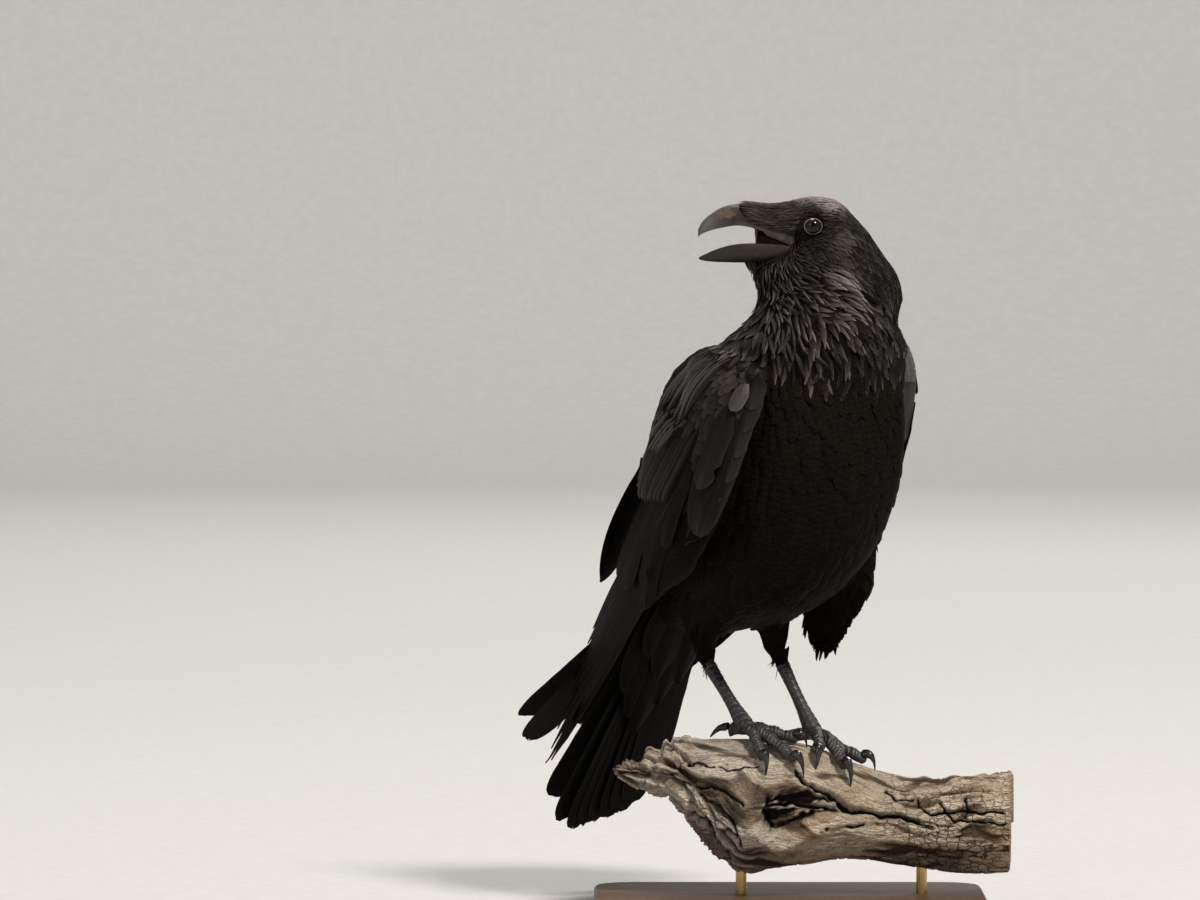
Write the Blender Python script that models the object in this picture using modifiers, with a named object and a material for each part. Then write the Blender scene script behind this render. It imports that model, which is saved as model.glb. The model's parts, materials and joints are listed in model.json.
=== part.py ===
"""A raven perched on a short length of dead branch, on a small display stand, at life size.

Units are metres, +Z is up and the origin is the middle of the stand's underside. The trunk, neck, head and
feathered legs are lofted whole, joined into one skin by a remesh, and parted with thin cuts. The wings, tail,
bill and feet are lofts that are trimmed where they meet their neighbours, which leaves a hairline gap.
"""

import math

import bmesh
import bpy
from mathutils import Matrix, Vector

# ---- driving sizes ---------------------------------------------------------------------------------------

GAP = 0.00035  # hairline between pieces that meet
BASE_SIZE = (0.290, 0.200, 0.012)  # stand board
BASE_CORNER = 0.030
ROD_RADIUS = 0.004
ROD_SOCKET = 0.014  # how far a rod runs up into the perch
ROD_FOOT = 0.006  # how far it runs down into the board
ROD_PLACES = {"stand_rod_left": -0.036, "stand_rod_right": 0.098}

TRUNK_YAW = math.radians(45)  # heading, turned right from straight ahead (-Y)
HEAD_YAW = math.radians(-90)  # the head looks back over the right shoulder
FEET_CENTRE = Vector((-0.003, -0.004, 0.0))  # the trunk is placed from this point
HEAD_CENTRE = Vector((0.027, -0.035, 0.0))

EYE_RADIUS = 0.0072
EYE_HEIGHT = 0.5070
EYE_FORWARD = 0.0115  # ahead of the head's centre
EYE_SIDE = 0.0212

VOXEL = 0.0040
SKIN_FACES = 1600  # triangles of the whole skin before it is parted

RING_POINTS = 28
FULLNESS = 0.87  # below one, the trunk is squarer than an oval

COLOURS = {
    "plumage": ((0.012, 0.011, 0.012), 0.45, 0.0),
    "flight_feather": ((0.014, 0.012, 0.013), 0.38, 0.0),
    "horn": ((0.035, 0.032, 0.031), 0.32, 0.0),
    "claw": ((0.020, 0.019, 0.019), 0.25, 0.0),
    "leg_scale": ((0.030, 0.031, 0.034), 0.50, 0.0),
    "eye": ((0.010, 0.006, 0.004), 0.05, 0.0),
    "mouth": ((0.090, 0.045, 0.045), 0.45, 0.0),
    "dead_wood": ((0.420, 0.300, 0.210), 0.85, 0.0),
    "stand_wood": ((0.050, 0.034, 0.026), 0.40, 0.0),
    "stand_metal": ((0.300, 0.280, 0.250), 0.35, 1.0),
}


# ---- frames ----------------------------------------------------------------------------------------------


def heading(yaw):
    """Level direction turned to the right of straight ahead (-Y) by yaw."""
    return Vector((math.sin(yaw), -math.cos(yaw), 0.0))


FORWARD = heading(TRUNK_YAW)
RIGHT = Vector((-math.cos(TRUNK_YAW), -math.sin(TRUNK_YAW), 0.0))
UP = Vector((0.0, 0.0, 1.0))


def bird(f, r, z):
    """A point f ahead of the ankles, r to the bird's right and z above the floor."""
    return FEET_CENTRE + FORWARD * f + RIGHT * r + UP * z


# ---- tools -----------------------------------------------------------------------------------------------


def clear_scene():
    for obj in list(bpy.data.objects):
        bpy.data.objects.remove(obj, do_unlink=True)


def make_material(name):
    colour, roughness, metallic = COLOURS[name]
    made = bpy.data.materials.new(name)
    made.use_nodes = True
    shader = made.node_tree.nodes["Principled BSDF"]
    shader.inputs["Base Color"].default_value = (*colour, 1.0)
    shader.inputs["Roughness"].default_value = roughness
    shader.inputs["Metallic"].default_value = metallic
    made.diffuse_color = (*colour, 1.0)
    return made


def add_object(name, mesh, collection, material=None):
    obj = bpy.data.objects.new(name, mesh)
    collection.objects.link(obj)
    if material:
        mesh.materials.clear()
        mesh.materials.append(material)
    return obj


def loft_mesh(name, rings, poles=(None, None)):
    """Skins rings that have the same number of points, and closes each end on a pole or a flat cap."""
    bm = bmesh.new()
    rows = [[bm.verts.new(p) for p in ring] for ring in rings]
    count = len(rows[0])
    for low, high in zip(rows, rows[1:]):
        for i in range(count):
            j = (i + 1) % count
            bm.faces.new((low[i], low[j], high[j], high[i]))
    for row, pole, flip in ((rows[0], poles[0], True), (rows[-1], poles[1], False)):
        if pole is None:
            bm.faces.new(row[::-1] if flip else row)
            continue
        tip = bm.verts.new(pole)
        for i in range(count):
            j = (i + 1) % count
            bm.faces.new((row[j], row[i], tip) if flip else (row[i], row[j], tip))
    bmesh.ops.recalc_face_normals(bm, faces=bm.faces)
    mesh = bpy.data.meshes.new(name)
    bm.to_mesh(mesh)
    bm.free()
    return mesh


def oval(centre, along, across, front, back, left, right, start=0.0, points=RING_POINTS, fullness=1.0):
    """A ring of four quarter ellipses: front and back lie along one axis, left and right along the other."""
    ring = []
    for i in range(points):
        angle = start + 2 * math.pi * i / points
        c = math.cos(angle)
        s = math.sin(angle)
        c = math.copysign(abs(c) ** fullness, c)
        s = math.copysign(abs(s) ** fullness, s)
        reach_a = front if c > 0 else back
        reach_b = left if s > 0 else right
        ring.append(centre + along * (c * reach_a) + across * (s * reach_b))
    return ring


def smooth_between(rows, steps):
    """Puts steps - 1 extra rows between each two rows of numbers, on a Catmull-Rom curve through them."""
    last = len(rows) - 1
    made = []
    for i in range(last):
        a, b, c, d = (rows[max(i - 1, 0)], rows[i], rows[i + 1], rows[min(i + 2, last)])
        for k in range(steps):
            t = k / steps
            weights = (-t + 2 * t**2 - t**3, 2 - 5 * t**2 + 3 * t**3, t + 4 * t**2 - 3 * t**3, t**3 - t**2)
            made.append(tuple(0.5 * sum(w * x for w, x in zip(weights, column)) for column in zip(a, b, c, d)))
    return made + [tuple(rows[-1])]


def evaluated_mesh(obj):
    graph = bpy.context.evaluated_depsgraph_get()
    graph.update()
    return bpy.data.meshes.new_from_object(obj.evaluated_get(graph))


def bake_modifiers(obj):
    """Replaces the object's mesh by what its modifiers make of it."""
    obj.data = evaluated_mesh(obj)
    obj.modifiers.clear()


def largest_body(obj):
    """Drops the crumbs that a cut can leave beside the main body."""
    bm = bmesh.new()
    bm.from_mesh(obj.data)
    bmesh.ops.remove_doubles(bm, verts=bm.verts, dist=0.00002)
    todo = set(bm.verts)
    groups = []
    while todo:
        stack = [todo.pop()]
        group = set(stack)
        while stack:
            for edge in stack.pop().link_edges:
                for vert in edge.verts:
                    if vert not in group:
                        group.add(vert)
                        stack.append(vert)
        todo -= group
        groups.append(group)
    keep = max(groups, key=len)
    bmesh.ops.delete(bm, geom=[v for v in bm.verts if v not in keep], context="VERTS")
    bm.to_mesh(obj.data)
    bm.free()


def boolean(obj, cutter, operation):
    made = obj.modifiers.new(operation.title(), "BOOLEAN")
    made.operation = operation
    made.solver = "EXACT"
    made.object = cutter
    bake_modifiers(obj)
    largest_body(obj)


def swollen_copy(obj, by=GAP):
    """A copy of a piece, grown outwards by the hairline gap, that serves as a cutter."""
    cutter = add_object(obj.name + "_cutter", obj.data.copy(), CUTTERS)
    cutter.matrix_world = obj.matrix_world
    cutter.hide_render = True
    cutter.display_type = "WIRE"
    swell = cutter.modifiers.new("Swell", "DISPLACE")
    swell.strength = by
    swell.mid_level = 0.0
    bake_modifiers(cutter)
    return cutter


def cut_out(obj, cutters):
    for cutter in cutters:
        boolean(obj, cutter, "DIFFERENCE")


def trim(obj, *neighbours):
    """Cuts the neighbours out of a piece and leaves a hairline between them."""
    cut_out(obj, [swollen_copy(neighbour) for neighbour in neighbours])


def block(name, centre, size, turn):
    """A box-shaped cutter, turned by a rotation matrix."""
    bm = bmesh.new()
    bmesh.ops.create_cube(bm, size=1.0)
    place = Matrix.Translation(centre) @ turn.to_4x4() @ Matrix.Diagonal((*size, 1.0))
    bmesh.ops.transform(bm, matrix=place, verts=bm.verts)
    mesh = bpy.data.meshes.new(name)
    bm.to_mesh(mesh)
    bm.free()
    made = add_object(name, mesh, CUTTERS)
    made.hide_render = True
    made.display_type = "WIRE"
    return made


def tube(name, path, radii, collection, material, points=8, flatten=1.0, up=UP):
    """A closed tube of changing radius along a path, with rounded ends."""
    rings = []
    for i, centre in enumerate(path):
        ahead = (path[min(i + 1, len(path) - 1)] - path[max(i - 1, 0)]).normalized()
        side = ahead.cross(up).normalized()
        over = side.cross(ahead).normalized()
        size = radii[i]
        rings.append(oval(centre, over * flatten, side, size, size, size, size, points=points))
    first = path[0] - (path[1] - path[0]).normalized() * radii[0] * 0.6
    last = path[-1] + (path[-1] - path[-2]).normalized() * radii[-1] * 0.6
    return add_object(name, loft_mesh(name, rings, (first, last)), collection, material)


# ---- skin: trunk, neck, head and feathered legs ----------------------------------------------------------

# ahead, height, pitch of the spine in degrees, reach to the belly, to the back, and to either side
TRUNK_STATIONS = (
    (-0.127, 0.209, 52, 0.012, 0.012, 0.018),
    (-0.108, 0.224, 53, 0.034, 0.033, 0.034),
    (-0.086, 0.245, 55, 0.064, 0.052, 0.051),
    (-0.062, 0.272, 58, 0.094, 0.070, 0.065),
    (-0.040, 0.304, 62, 0.109, 0.084, 0.075),
    (-0.020, 0.338, 66, 0.112, 0.090, 0.079),
    (-0.002, 0.372, 70, 0.101, 0.092, 0.077),
    (0.012, 0.401, 75, 0.083, 0.075, 0.072),
)

# ahead of the head's centre, aside, height, yaw in degrees, reach to the front, to the back, to either side
NECK_STATIONS = (
    (0.010, -0.004, 0.420, -10, 0.062, 0.056, 0.071),
    (0.004, -0.001, 0.437, -50, 0.057, 0.057, 0.056),
    (-0.001, 0.000, 0.452, -80, 0.053, 0.056, 0.044),
    (0.000, 0.000, 0.466, -90, 0.056, 0.054, 0.037),
    (0.000, 0.000, 0.477, -90, 0.058, 0.050, 0.0335),
    (0.000, 0.000, 0.486, -90, 0.038, 0.045, 0.0310),
    (0.000, 0.000, 0.496, -90, 0.026, 0.039, 0.0295),
    (0.000, 0.000, 0.507, -90, 0.031, 0.031, 0.0275),
    (0.000, 0.000, 0.516, -90, 0.032, 0.022, 0.0240),
    (0.004, 0.000, 0.5235, -90, 0.027, 0.020, 0.0185),
    (0.008, 0.000, 0.5285, -90, 0.016, 0.014, 0.0105),
)
CROWN = 0.5305
TAIL_ROOT = (-0.132, 0.204)

# place across, place back, height and radius down the feathered part of each leg
THIGH_STATIONS = {
    "right": (
        (-0.047, -0.002, 0.262, 0.030),
        (-0.053, 0.010, 0.236, 0.0225),
        (-0.057, 0.019, 0.2136, 0.0165),
        (-0.063, 0.026, 0.2000, 0.0130),
        (-0.0632, 0.030, 0.1890, 0.0098),
        (-0.0610, 0.031, 0.1835, 0.0068),
    ),
    "left": (
        (-0.002, 0.036, 0.262, 0.030),
        (-0.009, 0.040, 0.236, 0.0215),
        (-0.0118, 0.041, 0.2136, 0.0150),
        (-0.0112, 0.040, 0.2000, 0.0122),
        (-0.0104, 0.039, 0.1890, 0.0092),
        (-0.0085, 0.0385, 0.1835, 0.0062),
    ),
}


def trunk_ring(f, z, pitch, belly, back, side):
    tilt = math.radians(pitch)
    ventral = FORWARD * math.sin(tilt) - UP * math.cos(tilt)
    return oval(bird(f, 0, z), ventral, -RIGHT, belly, back, side, side, fullness=FULLNESS)


def neck_ring(ahead, aside, z, yaw, front, back, side):
    look = heading(math.radians(yaw))
    left = UP.cross(look)
    toward = heading(HEAD_YAW)
    centre = HEAD_CENTRE + toward * ahead + UP.cross(toward) * aside + UP * z
    start = TRUNK_YAW - math.radians(yaw)
    return oval(centre, look, left, front, back, side, side, start)


def make_core():
    rings = [trunk_ring(*row) for row in smooth_between(TRUNK_STATIONS, 2)]
    rings += [neck_ring(*row) for row in smooth_between(NECK_STATIONS, 2)]
    toward = heading(HEAD_YAW)
    poles = (bird(TAIL_ROOT[0], 0, TAIL_ROOT[1]), HEAD_CENTRE + toward * 0.008 + UP * CROWN)
    return loft_mesh("core", rings, poles)


def make_thigh(word):
    rings = []
    for x, y, z, radius in smooth_between(THIGH_STATIONS[word], 2):
        rings.append(oval(Vector((x, y, z)), FORWARD, -RIGHT, radius, radius, radius, radius, points=16))
    x, y, z, radius = THIGH_STATIONS[word][0]
    last = Vector(THIGH_STATIONS[word][-1][:3])
    return loft_mesh("thigh", rings, (Vector((x, y, z + radius * 0.5)), last - UP * 0.003))


def make_skin():
    """One skin from the overlapping lofts, remeshed, smoothed and thinned."""
    bm = bmesh.new()
    for mesh in (make_core(), make_thigh("right"), make_thigh("left")):
        bm.from_mesh(mesh)
    mesh = bpy.data.meshes.new("skin")
    bm.to_mesh(mesh)
    bm.free()
    skin = add_object("skin", mesh, CUTTERS)
    skin.hide_render = True
    remesh = skin.modifiers.new("Remesh", "REMESH")
    remesh.mode = "VOXEL"
    remesh.voxel_size = VOXEL
    even = skin.modifiers.new("Smooth", "SMOOTH")
    even.factor = 0.5
    even.iterations = 4
    bake_modifiers(skin)
    thin = skin.modifiers.new("Decimate", "DECIMATE")
    thin.ratio = SKIN_FACES / (2 * len(skin.data.polygons))
    bake_modifiers(skin)
    return skin


def tilted(normal):
    """A rotation that takes +Z to the normal."""
    return normal.to_track_quat("Z", "Y").to_matrix()


# each cut: the node above it, a point on it and the direction of its upper side
HEAD_CUT = (Vector((0.030, -0.035, 0.4700)), Vector((0.42, 0.0, 1.0)))
NECK_CUT = (bird(0.034, 0.0, 0.414), Vector((0.15, -0.20, 1.0)))
RUMP_CUT = (bird(-0.080, 0.0, 0.262), FORWARD * 0.58 + UP * 0.81)
THIGH_CUT = (0.056, 0.045, 0.232)  # depth and width of a leg's share of the skin, and the height of its top
CUT_REACH = 0.5


def part_skin(skin, feather):
    """Cuts the skin across, from the head down, and each feathered leg from the trunk."""
    rest = add_object("rest", skin.data.copy(), CUTTERS)
    rest.hide_render = True
    nodes = {}
    for name, (point, up) in (("head", HEAD_CUT), ("neck", NECK_CUT), ("trunk", RUMP_CUT)):
        up = up.normalized()
        turn = tilted(up)
        half = up * CUT_REACH / 2
        nodes[name] = add_object(name, rest.data.copy(), BIRD, feather)
        above = block(name + "_side", point + half + up * GAP / 2, (1, 1, CUT_REACH), turn)
        below = block(name + "_rest", point + half - up * GAP / 2, (1, 1, CUT_REACH), turn)
        boolean(nodes[name], above, "INTERSECT")
        boolean(rest, below, "DIFFERENCE")
    nodes["rump"] = add_object("rump", rest.data.copy(), BIRD, feather)
    for word in ("right", "left"):
        name = "thigh_" + word
        x, y, _, _ = THIGH_STATIONS[word][2]
        depth, width, top = THIGH_CUT
        centre = Vector((x, y, top - 0.05))
        size = (width, depth, 0.100)
        turn = Matrix.Rotation(TRUNK_YAW, 3, "Z")
        inner = block(name + "_in", centre, size, turn)
        outer = block(name + "_out", centre, tuple(x + 2 * GAP for x in size), turn)
        nodes[name] = add_object(name, skin.data.copy(), BIRD, feather)
        boolean(nodes[name], inner, "INTERSECT")
        boolean(nodes["trunk"], outer, "DIFFERENCE")
        boolean(nodes["rump"], outer, "DIFFERENCE")
    return nodes


# ---- flank tuft ------------------------------------------------------------------------------------------

# ahead, aside, height, half the length and half the thickness of the loose feathers over the left thigh
FLANK_STATIONS = (
    (0.014, -0.048, 0.280, 0.034, 0.018),
    (0.004, -0.052, 0.258, 0.038, 0.018),
    (-0.001, -0.055, 0.238, 0.040, 0.014),
    (-0.009, -0.056, 0.220, 0.033, 0.010),
    (-0.011, -0.056, 0.205, 0.024, 0.006),
    (-0.010, -0.056, 0.191, 0.013, 0.0035),
)


def make_flank(feather):
    rings = []
    for f, r, z, reach, thick in FLANK_STATIONS:
        rings.append(oval(bird(f, r, z), FORWARD, -RIGHT, reach, reach, thick, thick, points=14))
    return add_object("flank_left", loft_mesh("flank_left", rings), BIRD, feather)


# ---- wings -----------------------------------------------------------------------------------------------

# ahead, aside, height, half the chord, half the thickness, and how far the upper edge leans in, in degrees
WING_STATIONS = (
    (0.043, 0.073, 0.399, 0.011, 0.007, 12),
    (0.021, 0.075, 0.396, 0.034, 0.011, 15),
    (-0.001, 0.075, 0.377, 0.053, 0.014, 19),
    (-0.017, 0.072, 0.346, 0.063, 0.015, 23),
    (-0.038, 0.069, 0.316, 0.067, 0.015, 27),
    (-0.068, 0.063, 0.286, 0.062, 0.013, 30),
    (-0.101, 0.055, 0.259, 0.051, 0.010, 31),
    (-0.131, 0.046, 0.230, 0.039, 0.0075, 32),
    (-0.159, 0.037, 0.197, 0.027, 0.0055, 32),
    (-0.188, 0.029, 0.162, 0.017, 0.0042, 32),
    (-0.213, 0.022, 0.131, 0.010, 0.0030, 32),
    (-0.234, 0.017, 0.103, 0.0045, 0.0016, 32),
)
WING_PITCH = math.radians(45)
WING_POINTS = 12
COVERT_END = 0.46  # share of the wing's length that the coverts cover
SECONDARY_END = 0.68


WING_SHIFT = {1: Vector((0.0, 0.0, 0.0)), -1: Vector((0.008, 0.005, 0.009))}


def wing_ring(f, r, z, chord, thick, lean, side):
    """A flat lens that lies against the flank, its upper edge leaning in towards the back."""
    lean = math.radians(lean)
    upper = FORWARD * (-math.sin(WING_PITCH) * math.cos(lean)) + UP * (math.cos(WING_PITCH) * math.cos(lean))
    upper -= RIGHT * side * math.sin(lean)
    along = FORWARD * -math.cos(WING_PITCH) - UP * math.sin(WING_PITCH)
    out = upper.cross(along).normalized()
    if out.dot(RIGHT * side) < 0:
        out = -out
    centre = bird(f, r * side, z) + WING_SHIFT[side]
    return oval(centre, upper, out, chord, chord, thick, thick, points=WING_POINTS)


def make_wing(side):
    rows = smooth_between(WING_STATIONS, 2)
    rings = [wing_ring(*row, side) for row in rows]
    f, r, z, _, _, _ = WING_STATIONS[0]
    tip = WING_STATIONS[-1]
    shoulder = bird(f + 0.006, r * side, z + 0.004)
    point = bird(tip[0] - 0.004, (tip[1] - 0.001) * side, tip[2] - 0.004)
    return loft_mesh("wing", rings, [end + WING_SHIFT[side] for end in (shoulder, point)])


def make_wings(skin, feather, quill):
    """Each wing in three lengths: the coverts, the inner flight feathers and the long primaries."""
    along = (FORWARD * -math.cos(WING_PITCH) - UP * math.sin(WING_PITCH)).normalized()
    first, last = (bird(row[0], 0.0, row[2]) for row in (WING_STATIONS[0], WING_STATIONS[-1]))
    cuts = [first.lerp(last, share) for share in (COVERT_END, SECONDARY_END)]
    turn = tilted(along)
    nodes = {}
    for side, word in ((1, "right"), (-1, "left")):
        rest = add_object("wing_rest_" + word, make_wing(side), CUTTERS)
        rest.hide_render = True
        trim(rest, skin)
        for part, cut in zip(("coverts", "secondaries"), cuts):
            name = f"wing_{word}_{part}"
            material = feather if part == "coverts" else quill
            nodes[name] = add_object(name, rest.data.copy(), BIRD, material)
            half = along * CUT_REACH / 2
            before = block(name + "_in", cut - half - along * GAP / 2, (1, 1, CUT_REACH), turn)
            after = block(name + "_out", cut - half + along * GAP / 2, (1, 1, CUT_REACH), turn)
            boolean(nodes[name], before, "INTERSECT")
            boolean(rest, after, "DIFFERENCE")
        name = f"wing_{word}_primaries"
        nodes[name] = add_object(name, rest.data.copy(), BIRD, quill)
    return nodes


# ---- tail ------------------------------------------------------------------------------------------------

TAIL_ORIGIN = (-0.088, 0.258)
TAIL_THICK = 0.0028
# name, then left and right edge of the fan in degrees, drop below level and length at either edge
TAIL_FANS = (
    ("tail_centre", -19, 5, 57, 52, 0.206, 0.238),
    ("tail_outer_right", 1, 12, 45, 40, 0.206, 0.200),
)
TAIL_FEATHERS = {"tail_centre": 8, "tail_outer_right": 2}
FEATHER_COLUMNS = 2
TAIL_ROWS = 4


def tail_point(share, reach, fan):
    """A point of the fan: share runs from the left edge to the right one, reach from root to tip."""
    name, left, right, drop_left, drop_right, long_left, long_right = fan
    spread = math.radians(left + (right - left) * share)
    drop = math.radians(drop_left + (drop_right - drop_left) * share)
    length = long_left + (long_right - long_left) * share
    if name == "tail_centre":
        length += 0.016 * math.sin(math.pi * share)
        drop += math.radians(6) * math.sin(math.pi * share)
    scallop = abs(math.sin(math.pi * share * TAIL_FEATHERS[name]))
    length *= 0.975 + 0.025 * math.sqrt(scallop)
    out = FORWARD * -math.cos(drop) - UP * math.sin(drop)
    out = out * math.cos(spread) + RIGHT * math.sin(spread)
    root = bird(TAIL_ORIGIN[0], 0.0, TAIL_ORIGIN[1]) + RIGHT * (spread * 0.020)
    return root + out * (0.020 + (length - 0.020) * reach)


def make_tail(quill):
    nodes = {}
    for fan in TAIL_FANS:
        name = fan[0]
        columns = TAIL_FEATHERS[name] * FEATHER_COLUMNS
        bm = bmesh.new()
        bmesh.ops.create_grid(bm, x_segments=columns, y_segments=TAIL_ROWS, size=0.5)
        for vert in bm.verts:
            vert.co = tail_point(vert.co.x + 0.5, vert.co.y + 0.5, fan)
        mesh = bpy.data.meshes.new(name)
        bm.to_mesh(mesh)
        bm.free()
        nodes[name] = add_object(name, mesh, BIRD, quill)
        sheet = nodes[name].modifiers.new("Solidify", "SOLIDIFY")
        sheet.thickness = TAIL_THICK
        sheet.offset = 0.0
        bake_modifiers(nodes[name])
    return nodes


# ---- head: eyes, bill, bristles and tongue ---------------------------------------------------------------

# ahead of the head's centre, height of the ridge, of the cutting edge, and half the width
UPPER_BILL = (
    (0.020, 0.5130, 0.4925, 0.0115),
    (0.031, 0.5165, 0.5005, 0.0112),
    (0.042, 0.5190, 0.5045, 0.0103),
    (0.054, 0.5215, 0.5068, 0.0090),
    (0.066, 0.5232, 0.5074, 0.0076),
    (0.077, 0.5212, 0.5062, 0.0060),
    (0.086, 0.5160, 0.5040, 0.0043),
    (0.092, 0.5107, 0.5018, 0.0028),
    (0.0956, 0.5045, 0.4993, 0.0013),
)
# ahead, height of the cutting edge, of the keel, and half the width
LOWER_BILL = (
    (0.020, 0.4905, 0.4795, 0.0108),
    (0.034, 0.4930, 0.4797, 0.0102),
    (0.048, 0.4940, 0.4799, 0.0092),
    (0.061, 0.4940, 0.4801, 0.0078),
    (0.073, 0.4925, 0.4803, 0.0062),
    (0.084, 0.4890, 0.4807, 0.0043),
    (0.091, 0.4858, 0.4815, 0.0026),
    (0.0948, 0.4840, 0.4826, 0.0012),
)
BILL_WALL = 0.0017
BILL_POINTS = 6


def head_point(ahead, left, z):
    toward = heading(HEAD_YAW)
    return HEAD_CENTRE + toward * ahead + UP.cross(toward) * left + UP * z


def upper_section(ahead, ridge, edge, half):
    """An arch with a shallow groove under it."""
    height = ridge - edge
    ring = []
    for i in range(BILL_POINTS + 1):
        angle = math.pi * i / BILL_POINTS
        rise = math.sin(angle) ** 0.85
        ring.append(head_point(ahead, -half * math.cos(angle) * (1 - 0.12 * rise), edge + height * rise))
    inner = half - min(BILL_WALL, half * 0.45)
    roof = min(height * 0.42, 0.0045)
    for i in range(1, BILL_POINTS):
        angle = math.pi * (1 - i / BILL_POINTS)
        ring.append(head_point(ahead, -inner * math.cos(angle), edge + roof * math.sin(angle)))
    return ring


def lower_section(ahead, edge, keel, half):
    """A trough that is open above."""
    height = edge - keel
    ring = []
    for i in range(BILL_POINTS + 1):
        angle = math.pi * i / BILL_POINTS
        ring.append(head_point(ahead, half * math.cos(angle), edge - height * math.sin(angle) ** 0.7))
    inner = half - min(BILL_WALL, half * 0.45)
    floor = max(height - 0.0030, height * 0.35)
    for i in range(1, BILL_POINTS):
        angle = math.pi * (1 - i / BILL_POINTS)
        ring.append(head_point(ahead, inner * math.cos(angle), edge - floor * math.sin(angle)))
    return ring


def make_bill(horn):
    upper_rings = [upper_section(*row) for row in UPPER_BILL]
    lower_rings = [lower_section(*row) for row in LOWER_BILL]
    upper = add_object("bill_upper", loft_mesh("bill_upper", upper_rings), BIRD, horn)
    lower = add_object("bill_lower", loft_mesh("bill_lower", lower_rings), BIRD, horn)
    return upper, lower


# ahead, height of the top, of the lower edge, and half the width of the bristles over the bill's base
BRISTLES = (
    (0.018, 0.5220, 0.5050, 0.0175),
    (0.030, 0.5222, 0.5055, 0.0145),
    (0.042, 0.5225, 0.5080, 0.0124),
    (0.054, 0.5242, 0.5115, 0.0106),
    (0.062, 0.5250, 0.5145, 0.0086),
    (0.0675, 0.5243, 0.5180, 0.0050),
)


def make_bristles(feather):
    rings = []
    for ahead, top, low, half in BRISTLES:
        middle = (top + low) / 2
        rise = (top - low) / 2
        centre = head_point(ahead, 0, middle)
        rings.append(oval(centre, UP, UP.cross(heading(HEAD_YAW)), rise, rise, half, half, points=12))
    return add_object("nasal_bristles", loft_mesh("nasal_bristles", rings), BIRD, feather)


def make_tongue(mouth):
    places = ((0.026, 0.4885), (0.040, 0.4893), (0.054, 0.4890), (0.064, 0.4872))
    path = [head_point(ahead, 0.0, z) for ahead, z in places]
    return tube("tongue", path, (0.0050, 0.0047, 0.0036, 0.0018), BIRD, mouth, points=10, flatten=0.45)


def make_eyes(glass):
    nodes = {}
    for word, side in (("left", 1), ("right", -1)):
        bm = bmesh.new()
        bmesh.ops.create_uvsphere(bm, u_segments=12, v_segments=8, radius=EYE_RADIUS)
        turn = Matrix.Rotation(math.radians(90), 4, "X")
        place = Matrix.Translation(head_point(EYE_FORWARD, EYE_SIDE * side, EYE_HEIGHT)) @ turn
        bmesh.ops.transform(bm, matrix=place, verts=bm.verts)
        mesh = bpy.data.meshes.new("eye_" + word)
        bm.to_mesh(mesh)
        bm.free()
        nodes["eye_" + word] = add_object("eye_" + word, mesh, BIRD, glass)
    return nodes


# ---- perch -----------------------------------------------------------------------------------------------

# along the branch, height of its middle, half its height, half its depth and how far its middle lies back
PERCH_STATIONS = (
    (-0.124, 0.104, 0.0065, 0.009, -0.002),
    (-0.112, 0.1025, 0.0130, 0.016, -0.002),
    (-0.100, 0.1035, 0.0175, 0.022, -0.001),
    (-0.086, 0.1030, 0.0240, 0.030, -0.001),
    (-0.066, 0.0890, 0.0390, 0.040, -0.001),
    (-0.040, 0.0790, 0.0490, 0.047, -0.002),
    (-0.012, 0.0790, 0.0485, 0.048, -0.002),
    (0.018, 0.0780, 0.0440, 0.044, -0.001),
    (0.046, 0.0735, 0.0365, 0.038, 0.001),
    (0.084, 0.0655, 0.0335, 0.034, 0.003),
    (0.124, 0.0640, 0.0360, 0.035, 0.004),
    (0.163, 0.0640, 0.0370, 0.036, 0.004),
)
PERCH_POINTS = 16
PERCH_TIP = Vector((-0.131, -0.002, 0.104))
PERCH_LUMP = 0.035  # how uneven the branch is, as a share of its radius


def perch_station(x):
    """The branch's middle height, half height, half depth and middle depth at a place along it."""
    rows = smooth_between(PERCH_STATIONS, 6)
    for low, high in zip(rows, rows[1:]):
        if low[0] <= x <= high[0]:
            t = (x - low[0]) / (high[0] - low[0])
            return [a + (b - a) * t for a, b in zip(low, high)][1:]
    return list(rows[-1][1:] if x > 0 else rows[0][1:])


def perch_point(x, angle, out=0.0):
    """A point of the branch's skin: the angle runs from the top towards -Y. out lifts it off the skin."""
    height, tall, deep, back = perch_station(x)
    lump = math.sin(3 * angle + 40 * x) + 0.6 * math.sin(5 * angle - 65 * x + 1.3)
    calm = 0.25 if abs(angle) < math.radians(75) and -0.06 < x < 0.07 else 1.0
    swell = 1 + PERCH_LUMP * lump * calm
    level = Vector((0.0, -math.sin(angle) / deep, math.cos(angle) / tall)).normalized()
    y = back - math.sin(angle) * deep * swell
    z = height + math.cos(angle) * tall * swell
    return Vector((x, y, z)) + level * out


def make_perch(wood):
    rings = []
    for row in smooth_between(PERCH_STATIONS, 2):
        rings.append([perch_point(row[0], -2 * math.pi * i / PERCH_POINTS) for i in range(PERCH_POINTS)])
    return add_object("perch", loft_mesh("perch", rings, (PERCH_TIP, None)), BIRD, wood)


# ---- legs and feet ---------------------------------------------------------------------------------------

HEELS = {"right": Vector((-0.0585, 0.0300, 0.1840)), "left": Vector((-0.0085, 0.0375, 0.1850))}
# for each foot: place along the branch and angle round it of the toes' root
FOOT_ROOTS = {"right": (-0.036, 8), "left": (0.016, -12)}
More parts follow.
